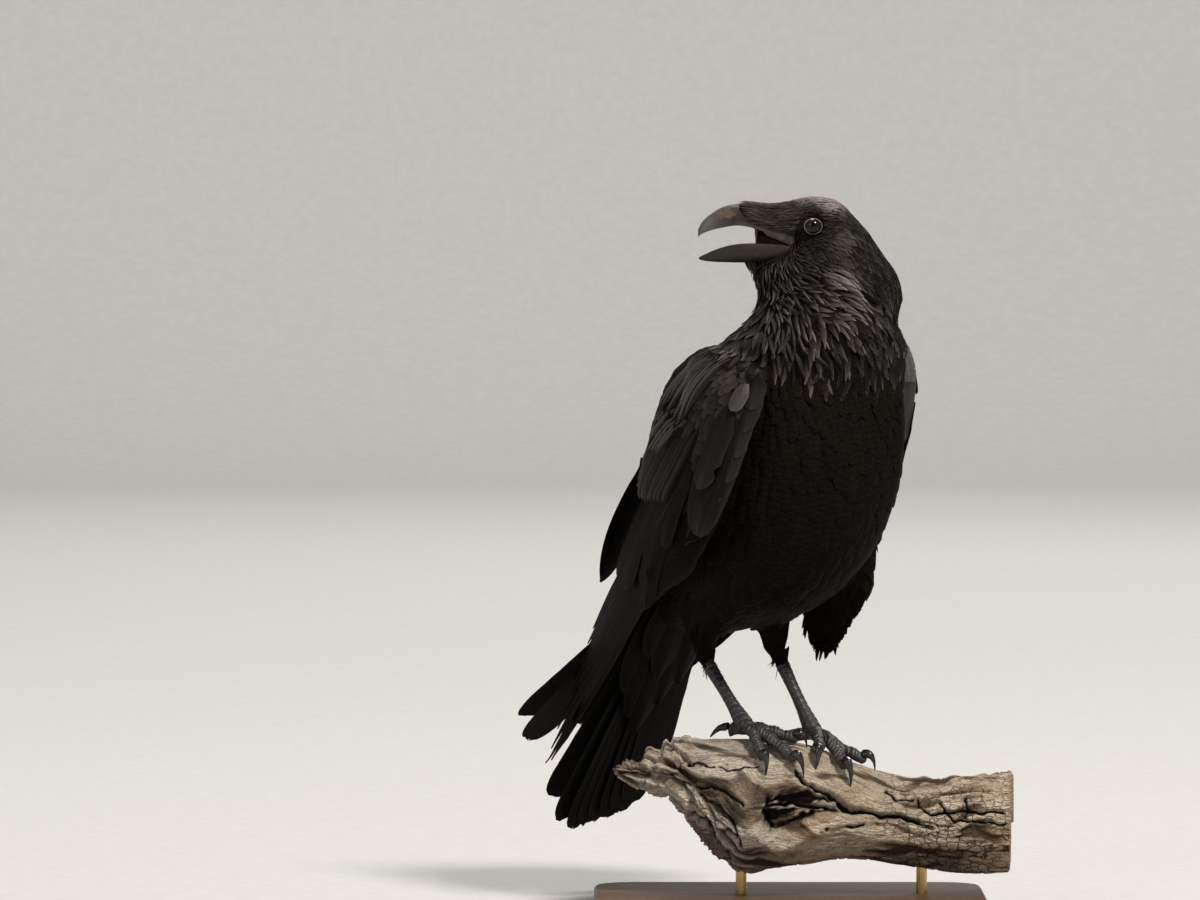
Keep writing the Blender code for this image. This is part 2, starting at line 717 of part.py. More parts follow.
# toe name: direction along the branch in degrees from straight over its front, length, radius, claw length
TOES = {
    "right": (
        ("toe_3", 50, 0.050, 0.0047, 0.017),
        ("toe_4", 25, 0.036, 0.0043, 0.015),
        ("toe_2", 79, 0.041, 0.0045, 0.015),
        ("hallux", 236, 0.026, 0.0049, 0.020),
    ),
    "left": (
        ("toe_3", 32, 0.045, 0.0047, 0.018),
        ("toe_2", 6, 0.034, 0.0045, 0.015),
        ("toe_4", 78, 0.040, 0.0043, 0.015),
        ("hallux", 236, 0.026, 0.0049, 0.020),
    ),
}
TARSUS_RADII = (0.0056, 0.0050, 0.0045, 0.0044, 0.0048, 0.0062, 0.0072)
TOE_STEPS = 6
CLAW_STEPS = 4
SOLE_GAP = 0.0006
KNUCKLES = 2.5  # how many joints swell along a toe


def surface_walk(root, bearing, distance, lift):
    """The point reached by walking over the branch from the root, bearing 0 going straight over the front."""
    x, angle = root
    height, tall, deep, _ = perch_station(x)
    reach = (tall + deep) / 2
    x += math.sin(bearing) * distance
    angle += math.cos(bearing) * distance / reach
    return perch_point(x, angle, lift)


def make_toe(word, name, bearing, length, radius, claw, skin, horn):
    root = (FOOT_ROOTS[word][0], math.radians(FOOT_ROOTS[word][1]))
    bearing = math.radians(bearing)
    path = []
    radii = []
    for i in range(TOE_STEPS + 1):
        t = i / TOE_STEPS
        knuckle = 0.5 + 0.5 * math.cos(2 * math.pi * KNUCKLES * t)
        size = radius * (1.08 - 0.30 * t) * (0.90 + 0.14 * knuckle)
        arch = 0.0034 * (1 - t) ** 2 + 0.0012 * math.sin(math.pi * t)
        path.append(surface_walk(root, bearing, length * t, size + SOLE_GAP + arch))
        radii.append(size)
    out = (path[-1] - surface_walk(root, bearing, length, 0)).normalized()
    toe = tube(f"{name}_{word}", path, radii, BIRD, skin, points=8, up=out)
    claw_path = []
    claw_radii = []
    for i in range(CLAW_STEPS + 1):
        t = i / CLAW_STEPS
        size = radius * 0.62 * (1 - t) ** 0.8 + 0.0003
        bend = math.sin(math.pi * (0.25 + 0.75 * t)) * claw * 0.26
        reach = length - 0.001 + claw * 0.80 * t
        claw_path.append(surface_walk(root, bearing, reach, size + SOLE_GAP + bend + 0.0006))
        claw_radii.append(size)
    nail = tube(f"claw_{name}_{word}", claw_path, claw_radii, BIRD, horn, points=6, up=out)
    return toe, nail


def make_leg(word, perch, scale, horn):
    """The bare tarsus with its four toes and four claws, and the cutters that clear a way round them."""
    root = (FOOT_ROOTS[word][0], math.radians(FOOT_ROOTS[word][1]))
    foot = perch_point(*root, 0.0082)
    steps = len(TARSUS_RADII) - 1
    path = [HEELS[word].lerp(foot, i / steps) for i in range(steps + 1)]
    path.insert(0, HEELS[word] + UP * 0.010)
    tarsus = tube("tarsus_" + word, path, (0.0040, *TARSUS_RADII), BIRD, scale, points=10, up=FORWARD)
    made = [tarsus]
    cutters = [perch, swollen_copy(tarsus)]
    cut_out(tarsus, [perch])
    for row in TOES[word]:
        for piece in make_toe(word, *row, scale, horn):
            whole = swollen_copy(piece)
            cut_out(piece, cutters)
            made.append(piece)
            cutters.append(whole)
    return made, cutters[1:]


# ---- stand -----------------------------------------------------------------------------------------------


def cylinder(name, x, y, low, high, radius, collection, material=None, sides=16):
    bm = bmesh.new()
    place = Matrix.Translation((x, y, (low + high) / 2))
    size = {"radius1": radius, "radius2": radius, "depth": high - low}
    bmesh.ops.create_cone(bm, cap_ends=True, segments=sides, matrix=place, **size)
    mesh = bpy.data.meshes.new(name)
    bm.to_mesh(mesh)
    bm.free()
    return add_object(name, mesh, collection, material)


def make_stand(perch, wood, metal):
    """A flat board and two short rods that run up into the branch."""
    bm = bmesh.new()
    bmesh.ops.create_cube(bm, size=1.0)
    place = Matrix.Translation((0, 0, BASE_SIZE[2] / 2)) @ Matrix.Diagonal((*BASE_SIZE, 1.0))
    bmesh.ops.transform(bm, matrix=place, verts=bm.verts)
    upright = [e for e in bm.edges if abs(e.verts[0].co.z - e.verts[1].co.z) > BASE_SIZE[2] / 2]
    bmesh.ops.bevel(bm, geom=upright, offset=BASE_CORNER, segments=4, affect="EDGES", profile=0.5)
    rim = [e for e in bm.edges if all(v.co.z > BASE_SIZE[2] * 0.9 for v in e.verts)]
    rim = [e for e in rim if any(abs(f.normal.z) < 0.5 for f in e.link_faces)]
    bmesh.ops.bevel(bm, geom=rim, offset=0.002, segments=1, affect="EDGES", profile=0.5)
    mesh = bpy.data.meshes.new("stand_base")
    bm.to_mesh(mesh)
    bm.free()
    base = add_object("stand_base", mesh, BIRD, wood)
    for name, x in ROD_PLACES.items():
        height, tall, _, back = perch_station(x)
        underside = height - tall
        low = BASE_SIZE[2] - ROD_FOOT
        high = underside + ROD_SOCKET
        cylinder(name, x, back, low, high, ROD_RADIUS, BIRD, metal)
        hole = cylinder(name + "_hole", x, back, low - GAP, high + GAP, ROD_RADIUS + GAP, CUTTERS)
        hole.hide_render = True
        boolean(perch, hole, "DIFFERENCE")
        boolean(base, hole, "DIFFERENCE")


# ---- the whole raven -------------------------------------------------------------------------------------

clear_scene()
BIRD = bpy.data.collections.new("raven")
CUTTERS = bpy.data.collections.new("cutters")
for made in (BIRD, CUTTERS):
    bpy.context.scene.collection.children.link(made)
paint = {name: make_material(name) for name in COLOURS}

skin = make_skin()
body = part_skin(skin, paint["plumage"])
wings = make_wings(skin, paint["plumage"], paint["flight_feather"])
flank = make_flank(paint["plumage"])
trim(flank, skin, *(wings["wing_left_" + part] for part in ("coverts", "secondaries", "primaries")))
tail = make_tail(paint["flight_feather"])
for fan in tail.values():
    trim(fan, skin, *wings.values())
trim(tail["tail_outer_right"], tail["tail_centre"])

bill_upper, bill_lower = make_bill(paint["horn"])
trim(bill_upper, skin)
trim(bill_lower, skin)
bristles = make_bristles(paint["plumage"])
trim(bristles, skin, bill_upper)
tongue = make_tongue(paint["mouth"])
trim(tongue, skin, bill_lower)
for eye in make_eyes(paint["eye"]).values():
    trim(body["head"], eye)

perch = make_perch(paint["dead_wood"])
perch_clear = swollen_copy(perch)
right_leg, right_clear = make_leg("right", perch_clear, paint["leg_scale"], paint["claw"])
left_leg, left_clear = make_leg("left", perch_clear, paint["leg_scale"], paint["claw"])
for piece in left_leg:
    cut_out(piece, right_clear)
trim(right_leg[0], body["thigh_right"])
trim(left_leg[0], body["thigh_left"])
make_stand(perch, paint["stand_wood"], paint["stand_metal"])
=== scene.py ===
import json
import math

import bmesh
import bpy
import numpy as np
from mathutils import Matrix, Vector
from mathutils.bvhtree import BVHTree

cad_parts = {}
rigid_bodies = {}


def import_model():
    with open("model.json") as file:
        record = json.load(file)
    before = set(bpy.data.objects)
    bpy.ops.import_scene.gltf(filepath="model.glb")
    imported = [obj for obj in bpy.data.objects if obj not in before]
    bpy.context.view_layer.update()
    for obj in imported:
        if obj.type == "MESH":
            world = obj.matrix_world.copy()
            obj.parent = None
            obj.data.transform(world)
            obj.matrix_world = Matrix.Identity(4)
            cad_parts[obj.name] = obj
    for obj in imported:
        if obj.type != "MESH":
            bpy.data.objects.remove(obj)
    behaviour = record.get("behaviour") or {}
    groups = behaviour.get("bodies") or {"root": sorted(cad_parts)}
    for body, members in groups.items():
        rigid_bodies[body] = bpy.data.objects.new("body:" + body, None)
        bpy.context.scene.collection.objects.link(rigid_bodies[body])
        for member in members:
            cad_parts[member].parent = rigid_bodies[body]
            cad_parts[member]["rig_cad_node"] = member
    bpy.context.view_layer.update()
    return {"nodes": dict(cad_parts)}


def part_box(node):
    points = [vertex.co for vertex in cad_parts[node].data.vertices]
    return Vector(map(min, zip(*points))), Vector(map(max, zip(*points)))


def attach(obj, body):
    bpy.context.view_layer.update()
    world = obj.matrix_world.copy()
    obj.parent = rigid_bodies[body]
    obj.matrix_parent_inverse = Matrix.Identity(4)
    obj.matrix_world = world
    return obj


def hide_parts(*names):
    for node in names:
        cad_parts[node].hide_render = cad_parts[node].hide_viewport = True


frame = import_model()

# ---- camera ----------------------------------------------------------------------------------------------
# A long lens stands six metres off and looks two degrees down, so that the raven is seen almost side on and
# nearly without perspective, with the sawn end of its branch on the right.

AIM = Vector((-0.1406, 0.0, 0.3411))
CAMERA_DISTANCE = 6.0
CAMERA_DROP = math.radians(2.0)
LENS = 243.2  # mm, over a sensor 36 mm wide

for spare in [o for o in bpy.data.objects if "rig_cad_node" not in o and not o.name.startswith("body:")]:
    bpy.data.objects.remove(spare, do_unlink=True)
back_off = Vector((0.0, -math.cos(CAMERA_DROP), math.sin(CAMERA_DROP))) * CAMERA_DISTANCE
bpy.ops.object.camera_add(location=AIM + back_off, rotation=(math.radians(90) - CAMERA_DROP, 0.0, 0.0))
camera = bpy.context.object
camera.name = "camera"
camera.data.lens = LENS
camera.data.sensor_width = 36.0
camera.data.clip_end = 60.0
bpy.context.scene.camera = camera

# ---- display stand ---------------------------------------------------------------------------------------
# A plain board of dark oiled hardwood with rounded edges, and two brass rods screwed up into the branch.
# Board and rods keep their worked shape and get grain and brushing.


def new_material(name):
    """An empty material, the tree to build in, and its shader."""
    made = bpy.data.materials.new(name)
    made.use_nodes = True
    return made, made.node_tree, made.node_tree.nodes["Principled BSDF"]


def feed(node, **inputs):
    """Sets or links a node's inputs, each by its name or as i and its number."""
    for key, value in inputs.items():
        numbered = key[0] == "i" and key[1:].isdigit()
        socket = node.inputs[int(key[1:]) if numbered else key.replace("_", " ")]
        if isinstance(value, bpy.types.NodeSocket):
            node.id_data.links.new(value, socket)
        else:
            socket.default_value = value


def add_node(tree, kind, settings=None, **inputs):
    """Adds a node with its own settings, and feeds it."""
    node = tree.nodes.new(kind)
    for key, value in (settings or {}).items():
        setattr(node, key, value)
    feed(node, **inputs)
    return node


def colour_ramp(tree, fac, *stops):
    """A ramp through (place, colour) stops; a single number is a grey."""
    node = add_node(tree, "ShaderNodeValToRGB", Fac=fac)
    ramp = node.color_ramp
    while len(ramp.elements) < len(stops):
        ramp.elements.new(0.5)
    for element, (place, colour) in zip(ramp.elements, stops):
        element.position = place
        element.color = (*(colour if isinstance(colour, tuple) else (colour,) * 3), 1.0)
    return node.outputs["Color"]


def math_node(tree, operation, a, b=0.0, clamp=False, c=0.0):
    settings = {"operation": operation, "use_clamp": clamp}
    return add_node(tree, "ShaderNodeMath", settings, i0=a, i1=b, i2=c).outputs[0]


def times(tree, a, b, clamp=False):
    return math_node(tree, "MULTIPLY", a, b, clamp)


def plus(tree, a, b, clamp=False):
    return math_node(tree, "ADD", a, b, clamp)


def minus(tree, a, b):
    return math_node(tree, "SUBTRACT", a, b)


def mix_colours(tree, factor, a, b):
    return add_node(tree, "ShaderNodeMix", {"data_type": "RGBA"}, i0=factor, i6=a, i7=b).outputs[2]


def add_bump(tree, height, strength, distance):
    return add_node(
        tree, "ShaderNodeBump", Height=height, Strength=strength, Distance=distance
    ).outputs["Normal"]


def object_place(tree, scale=(1, 1, 1)):
    """Object coordinates, stretched."""
    place = add_node(tree, "ShaderNodeTexCoord").outputs["Object"]
    return add_node(tree, "ShaderNodeMapping", Vector=place, Scale=scale).outputs["Vector"]


def noise(tree, scale, output="Fac", **inputs):
    """Noise over the object, with this many cells to the metre along each axis."""
    return add_node(
        tree, "ShaderNodeTexNoise", Vector=object_place(tree, scale), Scale=1.0, **inputs
    ).outputs[output]


def mottled_material(name, scale, detail, colours, roughness, bump, specular=0.5, metal=0.0):
    """A finish whose colour, roughness and relief follow one noise; the first two are given as ramp stops."""
    made, tree, shader = new_material(name)
    mottle = noise(tree, scale, Detail=detail)
    feed(
        shader,
        Base_Color=colour_ramp(tree, mottle, *colours),
        Roughness=colour_ramp(tree, mottle, *roughness),
        Normal=add_bump(tree, mottle, *bump),
        Specular_IOR_Level=specular,
        Metallic=metal,
    )
    return made


board_wood, tree, shader = new_material("oiled_board")
grain = noise(tree, (6, 90, 90), Detail=6.0, Distortion=0.6)
pores = noise(tree, (40, 700, 700))
feed(
    shader,
    Base_Color=colour_ramp(
        tree, grain,
        (0.28, (0.035, 0.017, 0.008)), (0.5, (0.085, 0.042, 0.020)), (0.72, (0.150, 0.080, 0.038)),
    ),
    Roughness=math_node(tree, "MULTIPLY_ADD", pores, 0.25, c=0.30),
    Normal=add_bump(tree, pores, 0.25, 0.0004),
)
brass = mottled_material(
    "drawn_brass", (900, 900, 25), 2.0, ((0.3, (0.45, 0.30, 0.12)), (0.7, (0.72, 0.52, 0.24))),
    ((0.2, 0.22), (0.8, 0.42)), (0.15, 0.0002), metal=1.0,
)

for name, finish in (("stand_base", board_wood), ("stand_rod_left", brass), ("stand_rod_right", brass)):
    node = frame["nodes"][name]
    node.data.materials.clear()
    node.data.materials.append(finish)

# ---- perch -----------------------------------------------------------------------------------------------
# A short length of dead branch, sawn off at the right end and broken at the left: bark gone, the wood
# bleached grey and tan, split along its fibres and hollowed by rot under the feet.

PERCH_CELL = 0.00080
PERCH_FACES_KEPT = 0.61
# each crack: its line along the branch and in height, its half width and its depth
PERCH_CRACKS = (
    (
        (
            (0.004, 0.1060), (0.0105, 0.0975), (0.020, 0.0925), (0.032, 0.0880), (0.044, 0.0765),
            (0.060, 0.0740), (0.081, 0.0710), (0.103, 0.0625),
        ),
        0.0015, 0.0110,
    ),
    (((-0.016, 0.0800), (0.000, 0.0830), (0.018, 0.0820), (0.032, 0.0785)), 0.0014, 0.0080),
    (((-0.017, 0.0860), (-0.020, 0.0740), (-0.012, 0.0620)), 0.0018, 0.0080),
    (((0.093, 0.0840), (0.098, 0.0770), (0.106, 0.0730), (0.128, 0.0750), (0.157, 0.0740)), 0.0010, 0.0050),
    (((0.112, 0.0820), (0.115, 0.0740), (0.122, 0.0680), (0.142, 0.0680), (0.158, 0.0650)), 0.0009, 0.0045),
    (((0.130, 0.0860), (0.131, 0.0770), (0.129, 0.0700)), 0.0008, 0.0035),
    (((0.070, 0.0900), (0.078, 0.0850), (0.090, 0.0830)), 0.0009, 0.0030),
    (
        ((-0.095, 0.0990), (-0.078, 0.0935), (-0.060, 0.0960), (-0.046, 0.0900), (-0.036, 0.0820)), 0.0010,
        0.0036,
    ),
    (((-0.052, 0.1085), (-0.040, 0.1070), (-0.024, 0.1100)), 0.0009, 0.0030),
    (((-0.080, 0.0740), (-0.066, 0.0660), (-0.056, 0.0520), (-0.046, 0.0380)), 0.0013, 0.0070),
    (((-0.070, 0.0860), (-0.052, 0.0760), (-0.042, 0.0640), (-0.036, 0.0500)), 0.0010, 0.0050),
    (((-0.062, 0.0640), (-0.050, 0.0600), (-0.040, 0.0560)), 0.0012, 0.0050),
    (((-0.088, 0.1120), (-0.074, 0.1130), (-0.056, 0.1080)), 0.0009, 0.0024),
    (((0.040, 0.0650), (0.046, 0.0640), (0.054, 0.0655)), 0.0010, 0.0030),
)
# the pale lip of sound wood that rings the hollow on the left and below
PERCH_RIDGE = (
    (-0.036, 0.0920), (-0.035, 0.0780), (-0.029, 0.0620), (-0.020, 0.0520), (-0.008, 0.0490), (0.008, 0.0550),
    (0.022, 0.0640), (0.034, 0.0690), (0.050, 0.0690),
)
# the hollow: corners of a wedge that narrows to the right, along the branch and in height
HOLLOW = (
    (-0.0173, 0.0850), (-0.008, 0.0895), (0.006, 0.0960), (0.020, 0.0915), (0.032, 0.0870), (0.044, 0.0755),
    (0.032, 0.0745), (0.0136, 0.0690), (-0.0018, 0.0625), (-0.0142, 0.0580), (-0.022, 0.0650),
    (-0.0188, 0.0770),
)


def value_noise(points, seed=0):
    """Smooth noise from -1 to 1 at each row of points, one cell to the unit."""
    cell = np.floor(points).astype(np.int64)
    part = points - cell
    part = part * part * (3 - 2 * part)
    total = np.zeros(len(points))
    for corner in range(8):
        bit = np.array([(corner >> k) & 1 for k in range(3)])
        at = cell + bit
        code = (
            at[:, 0] * 374761393 + at[:, 1] * 668265263 + at[:, 2] * 2147483647 + seed * 1274126177
        ) & 0xFFFFFFFF
        code = ((code ^ (code >> 13)) * 1274126177) & 0xFFFFFFFF
        total += (
            (((code ^ (code >> 16)) & 0xFFFF) / 32767.5 - 1) * np.prod(np.where(bit, part, 1 - part), axis=1)
        )
    return total


def layered_noise(points, octaves, seed=0):
    """Value noise with finer, weaker layers of it added."""
    return sum(value_noise(points * 2**k, seed + 7 * k) / 2**k for k in range(octaves))


def bell(x):
    """A smooth bump, 1 at nought and all but gone at 2."""
    return np.exp(-(x**2))


def unit(x):
    """Held between 0 and 1."""
    return np.clip(x, 0, 1)


def to_line(flat, line):
    """How far each flat point is from a bent line."""
    best = np.full(len(flat), 1e9)
    for a, b in zip(np.array(line)[:-1], np.array(line)[1:]):
        t = unit((flat - a) @ (b - a) / ((b - a) @ (b - a)))
        best = np.minimum(best, np.linalg.norm(flat - a - t[:, None] * (b - a), axis=1))
    return best


def smooth_step(x, low, high):
    t = unit((x - low) / (high - low))
    return t * t * (3 - 2 * t)


def read_points(mesh, kind="co"):
    """A mesh's points or point normals as an array."""
    found = np.empty(len(mesh.vertices) * 3)
    if kind == "co":
        mesh.vertices.foreach_get("co", found)
    else:
        mesh.vertex_normals.foreach_get("vector", found)
    return found.reshape(-1, 3)


def write_points(mesh, points):
    mesh.vertices.foreach_set("co", np.ascontiguousarray(points, dtype=np.float32).ravel())
    mesh.update()


def paint_points(mesh, name, values):
    """Stores one value a point for the finish to read."""
    layer = mesh.attributes.get(name) or mesh.attributes.new(name, "FLOAT", "POINT")
    layer.data.foreach_set("value", np.asarray(values, dtype=np.float32))


def select_only(obj):
    bpy.ops.object.select_all(action="DESELECT")
    obj.hide_set(False)
    obj.select_set(True)
    bpy.context.view_layer.objects.active = obj


def apply_all(obj):
    select_only(obj)
    for modifier in list(obj.modifiers):
        bpy.ops.object.modifier_apply(modifier=modifier.name)


def mend(obj, weld=0.0):
    """Turns all faces outward, after welding points that lie together."""
    select_only(obj)
    bpy.ops.object.mode_set(mode="EDIT")
    bpy.ops.mesh.select_all(action="SELECT")
    if weld:
        bpy.ops.mesh.remove_doubles(threshold=weld)
    bpy.ops.mesh.normals_make_consistent(inside=False)
    bpy.ops.object.mode_set(mode="OBJECT")


def melt(name, nodes, cell, swell=0.0):
    """Copies solids, welds each, and melts them all into one closed skin of even faces."""
    copies = []
    for node in nodes:
        copy = frame["nodes"][node].copy()
        copy.data = copy.data.copy()
        copy.parent = None
        for key in list(copy.keys()):
            del copy[key]
        bpy.context.collection.objects.link(copy)
        copy.hide_render = False
        copy.hide_viewport = False
        mend(copy, 0.00002)
        if swell:
            copy.modifiers.new("Swell", "DISPLACE").strength = swell
            copy.modifiers["Swell"].mid_level = 0.0
            apply_all(copy)
        copies.append(copy)
    bpy.ops.object.select_all(action="DESELECT")
    for copy in copies:
        copy.select_set(True)
    bpy.context.view_layer.objects.active = copies[0]
    bpy.ops.object.join()
    made = bpy.context.object
    made.name = name
    made.data.name = name
    made.data.materials.clear()
    remesh = made.modifiers.new("Remesh", "REMESH")
    remesh.mode = "VOXEL"
    remesh.voxel_size = cell
    remesh.use_smooth_shade = True
    apply_all(made)
    return made


def relax(points, edges, rounds):
    """Moves each point half way to the middle of its neighbours, some rounds over."""
    count = np.bincount(edges.ravel(), minlength=len(points))[:, None]
    for _ in range(rounds):
        total = np.zeros_like(points)
        np.add.at(total, edges[:, 0], points[edges[:, 1]])
        np.add.at(total, edges[:, 1], points[edges[:, 0]])
        points = points + (total / np.maximum(count, 1) - points) * 0.5
    return points


def read_edges(mesh):
    found = np.empty(len(mesh.edges) * 2, dtype=np.int64)
    mesh.edges.foreach_get("vertices", found)
    return found.reshape(-1, 2)


def inside(flat, corners):
    """How far each flat point lies inside a many-cornered outline; below nought outside it."""
    corners = np.array(corners)
    hit = np.zeros(len(flat), dtype=bool)
    for (x1, z1), (x2, z2) in zip(corners, np.roll(corners, -1, 0)):
        crosses = (z1 > flat[:, 1]) != (z2 > flat[:, 1])
        hit ^= crosses & (flat[:, 0] < (x2 - x1) * (flat[:, 1] - z1) / (z2 - z1 + 1e-12) + x1)
    away = to_line(flat, np.concatenate([corners, corners[:1]]))
    return np.where(hit, away, -away)


perch = melt("branch", ["perch"], PERCH_CELL)
edges = read_edges(perch.data)
points = relax(read_points(perch.data), edges, 6)
write_points(perch.data, points)
normals = read_points(perch.data, "normal")
x, y, z = points.T
middle = np.interp(
    x, [-0.13, -0.10, -0.086, -0.066, -0.04, -0.012, 0.018, 0.046, 0.084, 0.124, 0.163],
    [0.104, 0.1035, 0.103, 0.089, 0.079, 0.079, 0.078, 0.0735, 0.0655, 0.064, 0.064],
)
turn = np.arctan2(-y, z - middle)  # from the top towards the front
round_way = turn * 0.040
warp = layered_noise(np.stack([x * 26, round_way * 26, y * 12], 1), 2, 3) * 0.012
run = round_way + warp + 0.25 * unit(-x - 0.03)  # the grain swings down at the left end
strands = layered_noise(np.stack([x * 46, run * 360, y * 30], 1), 2, 11)
slabs = layered_noise(np.stack([x * 30, run * 130, y * 24], 1), 3, 5)
lumps = layered_noise(points * 60, 3, 8)
under_feet = (
    smooth_step(np.abs(turn), 1.30, 0.90) * smooth_step(x, -0.076, -0.060) * smooth_step(x, 0.080, 0.064)
)
left_end = smooth_step(x, -0.060, -0.085)
rough = smooth_step(x, -0.034, -0.050) * smooth_step(z, 0.088, 0.068)
old_left = smooth_step(x, 0.010, -0.025)
valley = unit(-slabs - 0.05)
pits = unit(1 - np.abs(lumps) * 5) ** 2
depth = 0.0010 * unit(np.abs(strands)) * (0.6 + 0.9 * old_left) + 0.0040 * valley + 0.0011 * pits
depth += rough * (0.0060 * unit(np.abs(lumps) + 0.4 * valley) + 0.0030 * pits)
terrace = layered_noise(np.stack([x * 60, run * 80, y * 60], 1), 3, 17)
depth += left_end * (0.0060 * smooth_step(terrace, 0.02, 0.16) + 0.0020 * pits)
for notch, half_width, deep in (
    (-0.1140, 0.0055, 0.0070), (-0.0975, 0.0040, 0.0050), (-0.0885, 0.0020, 0.0030), (-0.0500, 0.0030, 0.0015)
):
    depth += deep * bell((x - notch) / half_width) * smooth_step(np.abs(turn), 1.35, 0.7)
# shade is painted shade: the grain's valleys, pits, the hollow, the hole and the cracks are painted dark
# where shade falls in them; in the hollow it is also rotted wood
shade = np.clip(unit(np.abs(strands) - 0.35) * 0.5 + valley * 1.3 + 0.35 * pits * (0.3 + rough), 0, 0.55)
frayed = np.stack([layered_noise(points * 150, 3, 21), layered_noise(points * 150, 3, 22)], 1)
for side in (-1, 1):  # the back has cracks of its own, shifted along
    facing = smooth_step(side * y, -0.006, 0.006)
    flat = np.stack([x + (0.031 if side > 0 else 0.0), z - (0.004 if side > 0 else 0.0)], 1) + 0.0016 * frayed
    within = inside(flat, HOLLOW)
    hollow = smooth_step(within, -0.0010, 0.0030) * facing
    splinters = layered_noise(
        np.stack([flat[:, 0] * 70, (flat[:, 1] - 0.25 * flat[:, 0]) * 330, x * 0], 1), 2, 27
    )
    rot = np.clip(splinters + 0.45 * value_noise(points * 300, 28), -1, 1)
    depth += hollow * (0.0085 + 0.0050 * rot)
    shade = np.maximum(shade, hollow * np.clip(0.50 + 0.75 * rot, 0.10, 1))
    ridge = bell(to_line(flat, PERCH_RIDGE) / 0.0062) * facing * (1 - hollow)
    depth = depth * (1 - 0.80 * ridge) - 0.0034 * ridge
    shade *= 1 - 0.9 * ridge
    hole = bell(np.hypot(flat[:, 0] - 0.0255, flat[:, 1] - 0.0636) / 0.0016) * facing
    depth += 0.0040 * hole
    shade = np.maximum(shade, hole)
    for line, half_width, deep in PERCH_CRACKS:
        away = to_line(flat, line)
        lips = bell(away / half_width) * facing
        depth += deep * lips - 0.0006 * bell((away - 3 * half_width) / (1.5 * half_width)) * facing
        shade = np.maximum(shade, lips)
sawn = smooth_step(x, 0.1605, 0.1620)
depth = depth * (1 - 0.86 * under_feet) * (1 - 0.93 * sawn)
crazed = unit(
    smooth_step(x, 0.050, 0.072) * (0.55 + 0.45 * smooth_step(z, 0.080, 0.055))
    + 0.35 * smooth_step(x, -0.040, -0.06) * rough
) * (1 - under_feet)
rise = 0.0020 * left_end * smooth_step(terrace, 0.0, -0.20) + 0.0010 * old_left * unit(slabs)
rise += (
    0.0030 * smooth_step(np.abs(turn), 0.9, 0.5)
    * unit(value_noise(np.stack([x * 90, y * 60, z * 0], 1), 41) + 0.2) * smooth_step(x, 0.090, 0.100)
)
points = points + normals * (rise * (1 - under_feet) - depth)[:, None]
write_points(perch.data, points)
# painted shade in cracks, valleys, pits and the hollow
paint_points(perch.data, "CrackShade", shade)
paint_points(perch.data, "Grain", run * 100)
paint_points(perch.data, "Crazed", crazed)
paint_points(perch.data, "Worn", unit(0.5 + 0.4 * value_noise(points * 26, 51) + 0.4 * slabs - 0.2 * valley))
paint_points(perch.data, "Grey", unit(0.85 * old_left + 0.5 * value_noise(points * 30, 52)))
paint_points(
    perch.data, "Stain",
    unit(
        smooth_step(z, 0.056, 0.038) * smooth_step(x, 0.055, 0.085) * smooth_step(x, 0.150, 0.115)
        * (0.8 + 0.5 * lumps)
        + 0.75 * rough * unit(0.5 + lumps)
    ),
)
paint_points(perch.data, "Sawn", sawn)


def painted(tree, name):
    """A value that paint_points stored."""
    return add_node(tree, "ShaderNodeAttribute", {"attribute_name": name}).outputs["Fac"]


dead_wood, tree, shader = new_material("bleached_branch")
crack_shade, worn, stain, end_grain, grey, grain, crazed = (
    painted(tree, key) for key in ("CrackShade", "Worn", "Stain", "Sawn", "Grey", "Grain", "Crazed")
)
fibres = noise(tree, (120, 420, 420), Detail=6.0, Roughness=0.70, Distortion=1.5)
swirl = noise(tree, (34, 34, 46), Detail=3.0, Roughness=0.6)
crumble = noise(tree, (130, 230, 230), Detail=8.0, Roughness=0.78, Distortion=1.0)
patches = noise(tree, (22, 45, 60), Detail=4.0)
# fine lines along the grain, where the fibres stand apart
band = math_node(tree, "FRACT", plus(tree, times(tree, grain, 5.2), times(tree, swirl, 7.0)))
lines = colour_ramp(tree, band, (0.0, 1), (0.22, 0), (0.80, 0), (1.0, 1))
lines = times(tree, lines, colour_ramp(tree, fibres, (0.38, 0.25), (0.60, 1)))
# gaps between the blocks that bleached wood crazes into, painted near black as the shade in these fine cracks
nudge = mix_colours(tree, 0.45, (0, 0, 0, 1), noise(tree, (260, 260, 260), "Color", Detail=2.0))
shifted = add_node(
    tree, "ShaderNodeVectorMath", {"operation": "ADD"}, i0=object_place(tree, (125, 150, 190)), i1=nudge
).outputs[0]
blocks = add_node(
    tree, "ShaderNodeTexVoronoi", {"feature": "DISTANCE_TO_EDGE"}, Vector=shifted, Scale=1.0, Randomness=0.75
).outputs["Distance"]
gap = times(tree, crazed, colour_ramp(tree, swirl, (0.34, 0.15), (0.50, 1)))
gap = times(tree, colour_ramp(tree, blocks, (0.02, 1), (0.085, 0)), gap)
tan = colour_ramp(
    tree, worn, (0.15, (0.32, 0.195, 0.110)), (0.40, (0.73, 0.520, 0.345)), (0.64, (0.97, 0.800, 0.610))
)
bleached = colour_ramp(
    tree, worn, (0.15, (0.22, 0.150, 0.092)), (0.43, (0.71, 0.560, 0.415)), (0.66, (0.98, 0.88, 0.75))
)
wood = mix_colours(tree, grey, tan, bleached)
